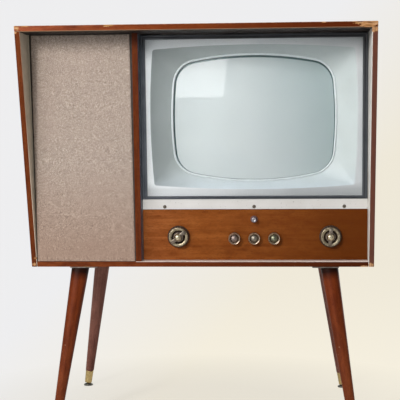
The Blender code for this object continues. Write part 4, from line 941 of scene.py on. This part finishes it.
# ---------------------------------------------------------------- legs
def make_leg(end, hand, side, row):
    """A tapered leg along its own axis from the glide's pivot up, with its ferrule and its glide."""
    name = f"{end}_{hand}"
    top = Vector((LEG_CENTRE_X + side * LEG_TOP[0], LEG_TOP[row], BASE_Z))
    foot = Vector((LEG_CENTRE_X + side * LEG_FOOT[0], LEG_FOOT[row], 0))
    axis = (top - foot).normalized()
    pivot = foot + axis * (PIVOT_Z / axis.z)
    length = (top - pivot).length
    across = axis.cross(Vector((0, 1, 0))).normalized()
    frame_of_leg = Matrix((across, axis.cross(across), axis)).transposed().to_4x4()
    frame_of_leg.translation = pivot
    taper_from = LEG_SHOULDER + 0.0016
    stations = [(0.0092, 0.0078), (LEG_SHOULDER, 0.0088), (LEG_SHOULDER, 0.01)]
    stations += [(LEG_SHOULDER + 0.0006, 0.0108)]
    stations += [(taper_from + (length - taper_from) * k / 8, 0.0112 + 0.0096 * k / 8) for k in range(9)]
    rings = []
    for station, radius in stations:
        turns = (2 * pi * i / LEG_STEPS for i in range(LEG_STEPS))
        rings.append([(radius * cos(turn), radius * sin(turn), station) for turn in turns])
    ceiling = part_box(f"{name}_leg")[1].z
    levelled = []
    for corner in rings[-1]:
        point = frame_of_leg @ Vector(corner)
        point += axis * ((ceiling - point.z) / axis.z)
        levelled.append(tuple(frame_of_leg.inverted() @ point))
    rings[-1] = levelled
    low = min(z for x, y, z in levelled)
    rings[-2] = [(x, y, min(z, low - 0.004)) for x, y, z in rings[-2]]

    paint = Paint(f"leg_{name}", Coat_Weight=0.04, Coat_Roughness=0.2, Specular_IOR_Level=0.08)
    # The rear legs take the lighter copy of the lacquer as painted light.
    tone = {"front": LACQUER, "rear": REAR_LACQUER_LIT}[end]
    body, lines, _ = grain(paint, Z, *tone, side + row * 3.1)
    body = paint.shared(body, LEG_PAINTED_LIGHT[end])
    nicks = paint.noise(paint.sized((0.0045, 0.0045, 0.007)), 2, 0.5)
    body = paint.blend(paint.span(nicks, 0.735, 0.76, 0.0, 0.7), body, PALE_WOOD)
    # Painted shade: the top of the leg darkened where the cabinet shades it.
    painted_shade_near_top = paint.span(paint.dot(Z), length - 0.036, length - 0.014, 0.0, 0.96)
    body = paint.blend(painted_shade_near_top, body, dimmed(tone[0], 0.12))
    finish = paint.done(body, paint.span(lines, 0.3, 0.7, 0.38, 0.3), paint.bump(lines, 0.0001, 0.6))
    piece(f"{name}_leg_turned", bridge(bmesh.new(), rings), finish, "cabinet", frame_of_leg, 35,
          f"{name}_leg")

    sleeve = mm((4.6, -3.5), (9, -3.5), (9.6, -2.9), (9.7, 6), (10.3, 24), (10.6, 28.6), (10.8, 29.2),
                (10.8, 30.5), (9.2, 30.5), (8.3, 8.8), (4.6, 8.8))
    ring_piece(f"{name}_ferrule_spun", sleeve, 0.0004, FINISHES["ferrule_brass"], frame_of_leg, 35,
               f"{name}_ferrule", LEG_STEPS)
    ball = [(0.0042 * sin(radians(a)), 0.0042 * cos(radians(a))) for a in range(0, 140, 15)]
    pad = mm((3.2, -5.6), (6, -6.2), (9.8, -7.4), (11.8, -8.8), (12.5, -10), (12.5, -11.4), (12.1, -12.1),
             (11.4, -12.5), (0, -12.5))
    piece(f"{name}_glide_pad", turned(ball + pad, LEG_STEPS), FINISHES["glide_steel"], f"{name}_foot",
          Matrix.Translation(pivot), 35, f"{name}_glide")


def make_legs():
    for row, end in ((1, "front"), (2, "rear")):
        for side, hand in ((-1, "left"), (1, "right")):
            make_leg(end, hand, side, row)
            paint_node(f"{end}_{hand}_leg_plate", FINISHES["leg_plate"])


# ---------------------------------------------------------------- the back
def make_back():
    """The cup over the neck, the cover's screws, the aerial socket on its plate and the cord's gland."""
    cover_low, cover_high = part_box("rear_cover")
    paint_node("rear_cover", matt("hardboard_back", (0.15, 0.082, 0.046), (0.09, 0.048, 0.026), 0.78, 0.0024,
                                  0.0003))
    face_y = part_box("neck_cup")[0].y
    cup_at = behind("neck_cup", face_y)
    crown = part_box("neck_cup")[1].y - face_y
    cup = [(0.07, 0), (0.07, 0.0016), (0.0545, 0.0016), (0.052, 0.003)]
    crest = mm((49, -14), (47.4, -8.5), (43.6, -4), (38, -1.2), (32, 0), (24, 0), (23.2, -1), (16, -1),
               (15.2, 0), (0, 0), (0, -2.6), (31.5, -2.6), (41.8, -5.6), (47.4, -15.6))
    cup += [(radius, crown + height) for radius, height in crest] + [(0.051, 0)]
    bakelite = matt("moulded_cup", (0.062, 0.034, 0.022), (0.034, 0.019, 0.013), 0.3, 0.012, 0.00008)
    piece("neck_cup_moulded", turned(cup, closed=True), bakelite, "cabinet", cup_at, 35,
          "neck_cup")
    for k in range(4):
        turn = radians(45 + 90 * k)
        spot = Matrix.Translation((0.0622 * cos(turn), 0.0622 * sin(turn), 0.0016))
        slotted_screw(f"cup_fixing_{k + 1}", cup_at @ spot, 0.0034, 0.0018, turn * 1.7)

    heights = [cover_low.z + (cover_high.z - cover_low.z) * share for share in (0.14, 0.5, 0.86)]
    places = [(x, z) for x in (-0.392, 0.397) for z in heights]
    places += [(x, z) for z in (cover_low.z + 0.009, cover_high.z - 0.009) for x in (-0.24, -0.02, 0.2)]
    for k, (x, z) in enumerate(places):
        at = rearward(x, cover_high.y + 0.0001, z)
        washer = turned(mm((0, 0), (5.2, 0), (5.2, 0.6), (4, 1.1), (0, 1.1)), 40)
        piece(f"cover_washer_{k + 1}", washer, FINISHES["plated_steel"], "cabinet", at, 35)
        lifted = at @ Matrix.Translation((0, 0, 0.0011))
        slotted_screw(f"cover_screw_{k + 1}", lifted, 0.0034, 0.0017, 0.9 * k)

    at = behind("aerial_socket", face_y)
    tube = mm((4.75, -6), (6.6, -6), (6.6, 7.4), (6.1, 8), (4.75, 8))
    ring_piece("aerial_socket_turned", tube, 0.0002, FINISHES["tinned_steel"], at, 35,
               "aerial_socket")
    outline = []
    for right, up, start in ((1, 1, 0), (-1, 1, 90), (-1, -1, 180), (1, -1, 270)):
        for i in range(9):
            turn = radians(start + 90 * i / 8)
            outline.append((right * 0.02 + 0.004 * cos(turn), up * 0.007 + 0.004 * sin(turn)))
    layers = ((1, 1, 0.0), (1, 1, 0.0011), (0.985, 0.97, 0.0014))
    plate = bridge(bmesh.new(), [[(x * wide, z * high, y) for x, z in outline] for wide, high, y in layers])
    plate = piece("aerial_plate", plate, FINISHES["tinned_steel"], "cabinet", at, 35)
    carve(plate, turned(mm((0, -10), (6.7, -10), (6.7, 10), (0, 10)), 64))
    for k, side in enumerate((-1, 1)):
        spot = at @ Matrix.Translation((side * 0.0178, 0, 0.0014))
        slotted_screw(f"aerial_screw_{k + 1}", spot, 0.0028, 0.0014, 0.5 + k)

    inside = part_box("mains_inlet")[0].y - face_y
    gland = [(0.004, inside), (0.0124, inside), (0.013, inside + 0.0008), (0.013, inside + 0.003)]
    gland += [(0.0098, inside + 0.003)]
    gland += mm((9.8, 0), (14, 0), (14, 1.8), (12.8, 3), (10.4, 4.6), (10, 5.6), (6.2, 7), (4.8, 7), (4, 6.4))
    rubber = matt("gland_rubber", (0.03, 0.029, 0.028), (0.016, 0.016, 0.016), 0.6, 0.006)
    ring_piece("mains_gland", gland, 0.0004, rubber, behind("mains_inlet", face_y), 35,
               "mains_inlet")


def baffle_finish():
    """Plywood with a dark stain, which beside the cloth also stands as painted shade in the gaps, and a band
    of darker cream along its left edge, wider towards the top: painted shade, standing as the side face in
    shadow.
    """
    paint = Paint("plywood_baffle", 0.85)
    plies = paint.noise(paint.sized((0.16, 0.004, 0.004)), 4, 0.6)
    slant = (LEFT_SLANT - SHADE_BAND_TOP) / (TOP_Z - BASE_Z)
    edge = left_x(BASE_Z) + BOARD + slant * BASE_Z
    wobble = paint.spots(0.02, 2, 0.5)
    beyond = paint.math("SUBTRACT", paint.dot((1, 0, slant)), edge)
    beyond = paint.math("MULTIPLY_ADD", wobble, 0.0008, beyond)
    # Painted shade: the band of darker cream along the baffle's left edge.
    brushed = paint.span(beyond, 0.0002, 0.001, 1.0, 0.0)
    # The dark stain is also painted shade in the gaps beside the cloth.
    stain_and_gap_shade = paint.ramp(plies, (0.32, (0.03, 0.023, 0.018)), (0.66, (0.06, 0.045, 0.034)))
    return paint.done(paint.blend(brushed, stain_and_gap_shade, BAFFLE_SHADE_BAND), None, paint.bump(plies, 0.0002, 0.6))


def make_inside():
    """Finishes of the pieces behind the front, which show through the vents and with the cover off."""
    carried = {
        "speaker_baffle": baffle_finish(),
        "speaker_cone": matt("cone_paper", (0.055, 0.05, 0.045), (0.03, 0.027, 0.024), 0.95, 0.0016, 0.0003),
        "deflection_yoke": metal("yoke_winding", (0.55, 0.22, 0.09), (0.3, 0.1, 0.04), 0.45, 0.004, 0.5, Z,
                                 0.7),
        "tube_socket": matt("socket_bakelite", (0.055, 0.032, 0.022), (0.03, 0.018, 0.012), 0.35, 0.008,
                            0.0001),
        "mains_transformer": metal("transformer_iron", (0.1, 0.095, 0.09), (0.05, 0.045, 0.04), 0.5, 0.006,
                                   0.3, (0, 1, 0), 0.7),
    }
    for finish, nodes in {
        "shaft_steel": "speaker_basket control_bracket",
        "plated_steel": "speaker_magnet tube_band",
        "tinned_steel": "chassis line_output_cage tuner_box turret_drum",
        "valve_glass": "sound_output_valve video_output_valve frame_output_valve",
        "can_aluminium": "smoothing_capacitor",
    }.items():
        for name in nodes.split():
            carried[name] = FINISHES[finish]
    for name, finish in carried.items():
        paint_node(name, finish)


FINISHES = {name: metal(name, *look) for name, *look in (
    ("aged_brass", (0.5, 0.42, 0.29), (0.17, 0.135, 0.085), 0.26, 0.0042, 0.5),
    ("bar_brass", (0.33, 0.275, 0.22), (0.11, 0.085, 0.065), 0.32, 0.004, 0.5),
    ("cap_brass", (0.74, 0.65, 0.46), (0.48, 0.41, 0.26), 0.24, 0.005, 0.35),
    ("rim_brass", (0.66, 0.53, 0.41), (0.36, 0.265, 0.19), 0.24, 0.005, 0.3),
    ("dome_rose", (0.37, 0.29, 0.26), (0.19, 0.145, 0.125), 0.4, 0.006, 0.3),
    ("dome_bronze", (0.36, 0.32, 0.26), (0.18, 0.155, 0.12), 0.38, 0.006, 0.3),
    ("dome_green", (0.29, 0.29, 0.2), (0.13, 0.135, 0.085), 0.32, 0.006, 0.3),
    ("dark_brown", (0.085, 0.052, 0.034), (0.038, 0.022, 0.014), 0.42, 0.005, 0.4, None, 0.4),
    ("bowl", (0.1, 0.075, 0.05), (0.05, 0.034, 0.022), 0.45, 0.005, 0.4, None, 0.6),
    ("bush", (0.3, 0.205, 0.215), (0.15, 0.1, 0.105), 0.36, 0.003, 0.3, None, 0.7),
    ("chrome_cap", (0.55, 0.54, 0.58), (0.3, 0.29, 0.32), 0.27, 0.003, 0.25),
    ("ferrule_brass", (0.8, 0.6, 0.27), (0.52, 0.37, 0.14), 0.27, 0.007, 0.35),
    ("glide_steel", (0.175, 0.175, 0.155), (0.08, 0.08, 0.07), 0.38, 0.005, 0.4, None, 0.8),
    ("screw_steel", (0.2, 0.17, 0.14), (0.085, 0.07, 0.058), 0.42, 0.002, 0.5, None, 0.8),
    # The leg plates: dull steel, darkened further as painted shade where they sit under the cabinet.
    ("leg_plate", (0.24, 0.205, 0.175), (0.1, 0.082, 0.068), 0.45, 0.01, 0.3),
    ("plated_steel", (0.5, 0.46, 0.41), (0.28, 0.25, 0.21), 0.36, 0.01, 0.3),
    ("shaft_steel", (0.42, 0.41, 0.4), (0.26, 0.25, 0.24), 0.36, 0.012, 0.3),
    ("tinned_steel", (0.62, 0.61, 0.58), (0.42, 0.41, 0.38), 0.36, 0.016, 0.3),
    ("can_aluminium", (0.72, 0.72, 0.73), (0.52, 0.52, 0.53), 0.32, 0.012, 0.2, Z),
)}
FINISHES.update((name, matt(name, *look)) for name, *look in (
    ("graphite_coat", (0.04, 0.04, 0.042), (0.022, 0.022, 0.024), 0.62, 0.02, 0.0001),
    ("neck_glass", (0.3, 0.34, 0.33), (0.22, 0.25, 0.25), 0.12, 0.05, 0.00002),
    ("valve_glass", (0.2, 0.21, 0.2), (0.06, 0.06, 0.065), 0.1, 0.012, 0.00002),
))


# ---------------------------------------------------------------- studio
COOL_WALL, WARM_WALL = (0.856, 0.855, 0.866), (0.86, 0.805, 0.67)
WARM_WAY = (1.0, 0.0, -1.0)  # the backdrop turns warm to the right and low down, seen from the viewpoint
WARM_FROM, WARM_TO, WARMEST = -0.07, 0.11, 0.9
VIEWPOINT = (0.186, -2.873, 0.6555)
YAW, PITCH, ROLL = -0.068, -0.0459, -0.0068
LENS = 103.1
FLOOR_RADIUS = 60
LIT_FLOOR = (0.26, 0.75)  # how far from the middle of the set the floor fades into the backdrop


def backdrop_warmth(tree, way):
    """0 where the backdrop is cool to 1 where it is warm, and its colour there."""
    warmth = tree.span(tree.dot(WARM_WAY, way), WARM_FROM, WARM_TO, 0.0, WARMEST)
    return warmth, tree.blend(warmth, COOL_WALL, WARM_WALL)


def make_stage():
    """A pale floor that runs into the backdrop: lit near the set, further out as bright as the backdrop."""
    bm = bmesh.new()
    bmesh.ops.create_circle(bm, cap_ends=True, segments=96, radius=FLOOR_RADIUS)
    floor = placed("studio_floor", mesh_of("floor", bm), Matrix.Translation((0, 0, -0.0002)))
    paint = Paint("studio_floor", 0.8)
    cloudy = paint.spots(0.8, 2, 0.5)
    paint.set(Base_Color=paint.ramp(cloudy, (0.3, (0.72, 0.705, 0.69)), (0.7, (0.75, 0.74, 0.725))))
    seen_from = paint.sized((1, 1, 1), offset=VIEWPOINT)
    way = paint.node("ShaderNodeVectorMath", {"operation": "NORMALIZE"}, {0: seen_from}).outputs["Vector"]
    warmth, colour = backdrop_warmth(paint, way)
    lift = paint.span(paint.dot((0, 0, -1), way), 0.1, 0.2, 0.0, 0.08)
    lift = paint.math("MULTIPLY_ADD", lift, warmth, 1.0)
    glow = paint.node("ShaderNodeEmission", (), {"Color": colour, "Strength": lift}).outputs[0]
    share = paint.span(paint.length(paint.place), *LIT_FLOOR, 0.7, 1.0)
    seen = paint.node("ShaderNodeLightPath").outputs["Is Camera Ray"]
    paint.mix(paint.math("MULTIPLY", share, seen), paint.shader.outputs[0], glow, "Material Output")
    floor.data.materials.append(paint.material)


def area_light(name, at, target, size, power, colour, mirrored=False, lighting=True, unshaded=False):
    """A lamp. mirrored and lighting say what surfaces do with it. The divider and the rubber round the glass
    cast no shadow from an unshaded one, so that the picture is bright up to its edges."""
    data = bpy.data.lights.new(name, "AREA")
    data.shape = "RECTANGLE"
    data.size, data.size_y = size
    data.energy = power
    data.color = colour
    turn = (Vector(target) - Vector(at)).to_track_quat("-Z", "Y")
    lamp = placed(name, data, Matrix.LocRotScale(Vector(at), turn, None))
    lamp.visible_glossy = mirrored
    lamp.visible_transmission = mirrored
    lamp.visible_diffuse = lighting
    lamp.visible_camera = False
    if unshaded:
        spared = bpy.data.collections.new(f"{name}_shines_past")
        lamp.light_linking.blocker_collection = spared
        for index, spared_name in enumerate(("divider_panel", "gasket_profile")):
            spared.objects.link(bpy.data.objects[spared_name])
            spared.collection_objects[index].light_linking.link_state = "EXCLUDE"


def make_light():
    """A window-like box up to the left, which the tube mirrors, a harder lamp behind it, and a pale room."""
    window = Vector((-1.661, -2.253, 1.602))
    white = (1.0, 0.99, 0.98)
    area_light("window_box", window, window + Vector((1.47, 2.22, -1.0)), (2.7, 1.65), 72, white, True, False)
    area_light("soft_key", (-1.95, -2.25, 1.75), (0.05, -0.2, 0.65), (1.6, 1.2), 23, white, unshaded=True)
    area_light("key_lamp", (-1.2, -2.8, 1.95), (0.05, -0.2, 0.55), (0.36, 0.85), 50, (1.0, 0.985, 0.96),
               unshaded=True)
    area_light("backdrop_glow", (0.9, 2.1, 0.75), (0, 0, 0.45), (3.4, 1.5), 26, (1.0, 0.97, 0.9), True)
    world = bpy.data.worlds.new("studio")
    world.use_nodes = True
    bpy.context.scene.world = world
    sky = Nodes(world.node_tree, "Generated")
    front = sky.span(sky.dot(Vector((-0.45, -0.86, 0.22)).normalized()), 0.4, 1.0, 0.22, 0.5)
    behind_set = sky.span(sky.dot((0, 1, 0)), 0.2, 1.0, 0.0, 0.45)
    room = sky.tree.nodes["Background"]
    sky.feed(room.inputs["Color"], (0.93, 0.97, 1.0))
    sky.feed(room.inputs["Strength"], sky.math("ADD", front, behind_set))
    backdrop = sky.node("ShaderNodeBackground", (), {"Color": backdrop_warmth(sky, sky.place)[1]})
    seen = sky.node("ShaderNodeLightPath").outputs["Is Camera Ray"]
    sky.mix(seen, room.outputs[0], backdrop.outputs[0], "World Output")


def make_camera():
    ahead = Vector((sin(YAW) * cos(PITCH), cos(YAW) * cos(PITCH), sin(PITCH)))
    level = Vector((cos(YAW), -sin(YAW), 0))
    over = level.cross(ahead)
    right = cos(ROLL) * level + sin(ROLL) * over
    up = -sin(ROLL) * level + cos(ROLL) * over
    data = bpy.data.cameras.new("camera")
    data.sensor_width, data.lens = 36, LENS
    data.clip_start, data.clip_end = 0.05, 200
    turn = Matrix((right, up, -ahead)).transposed().to_4x4()
    camera = placed("camera", data, Matrix.Translation(VIEWPOINT) @ turn)
    bpy.context.scene.camera = camera


for make in (make_camera, make_cabinet, make_cloth, make_mask, make_tube, make_gasket, make_glass, make_strip,
             make_controls, make_legs, make_back, make_inside, make_stage, make_light):
    make()
bpy.context.scene.view_settings.view_transform = "Standard"
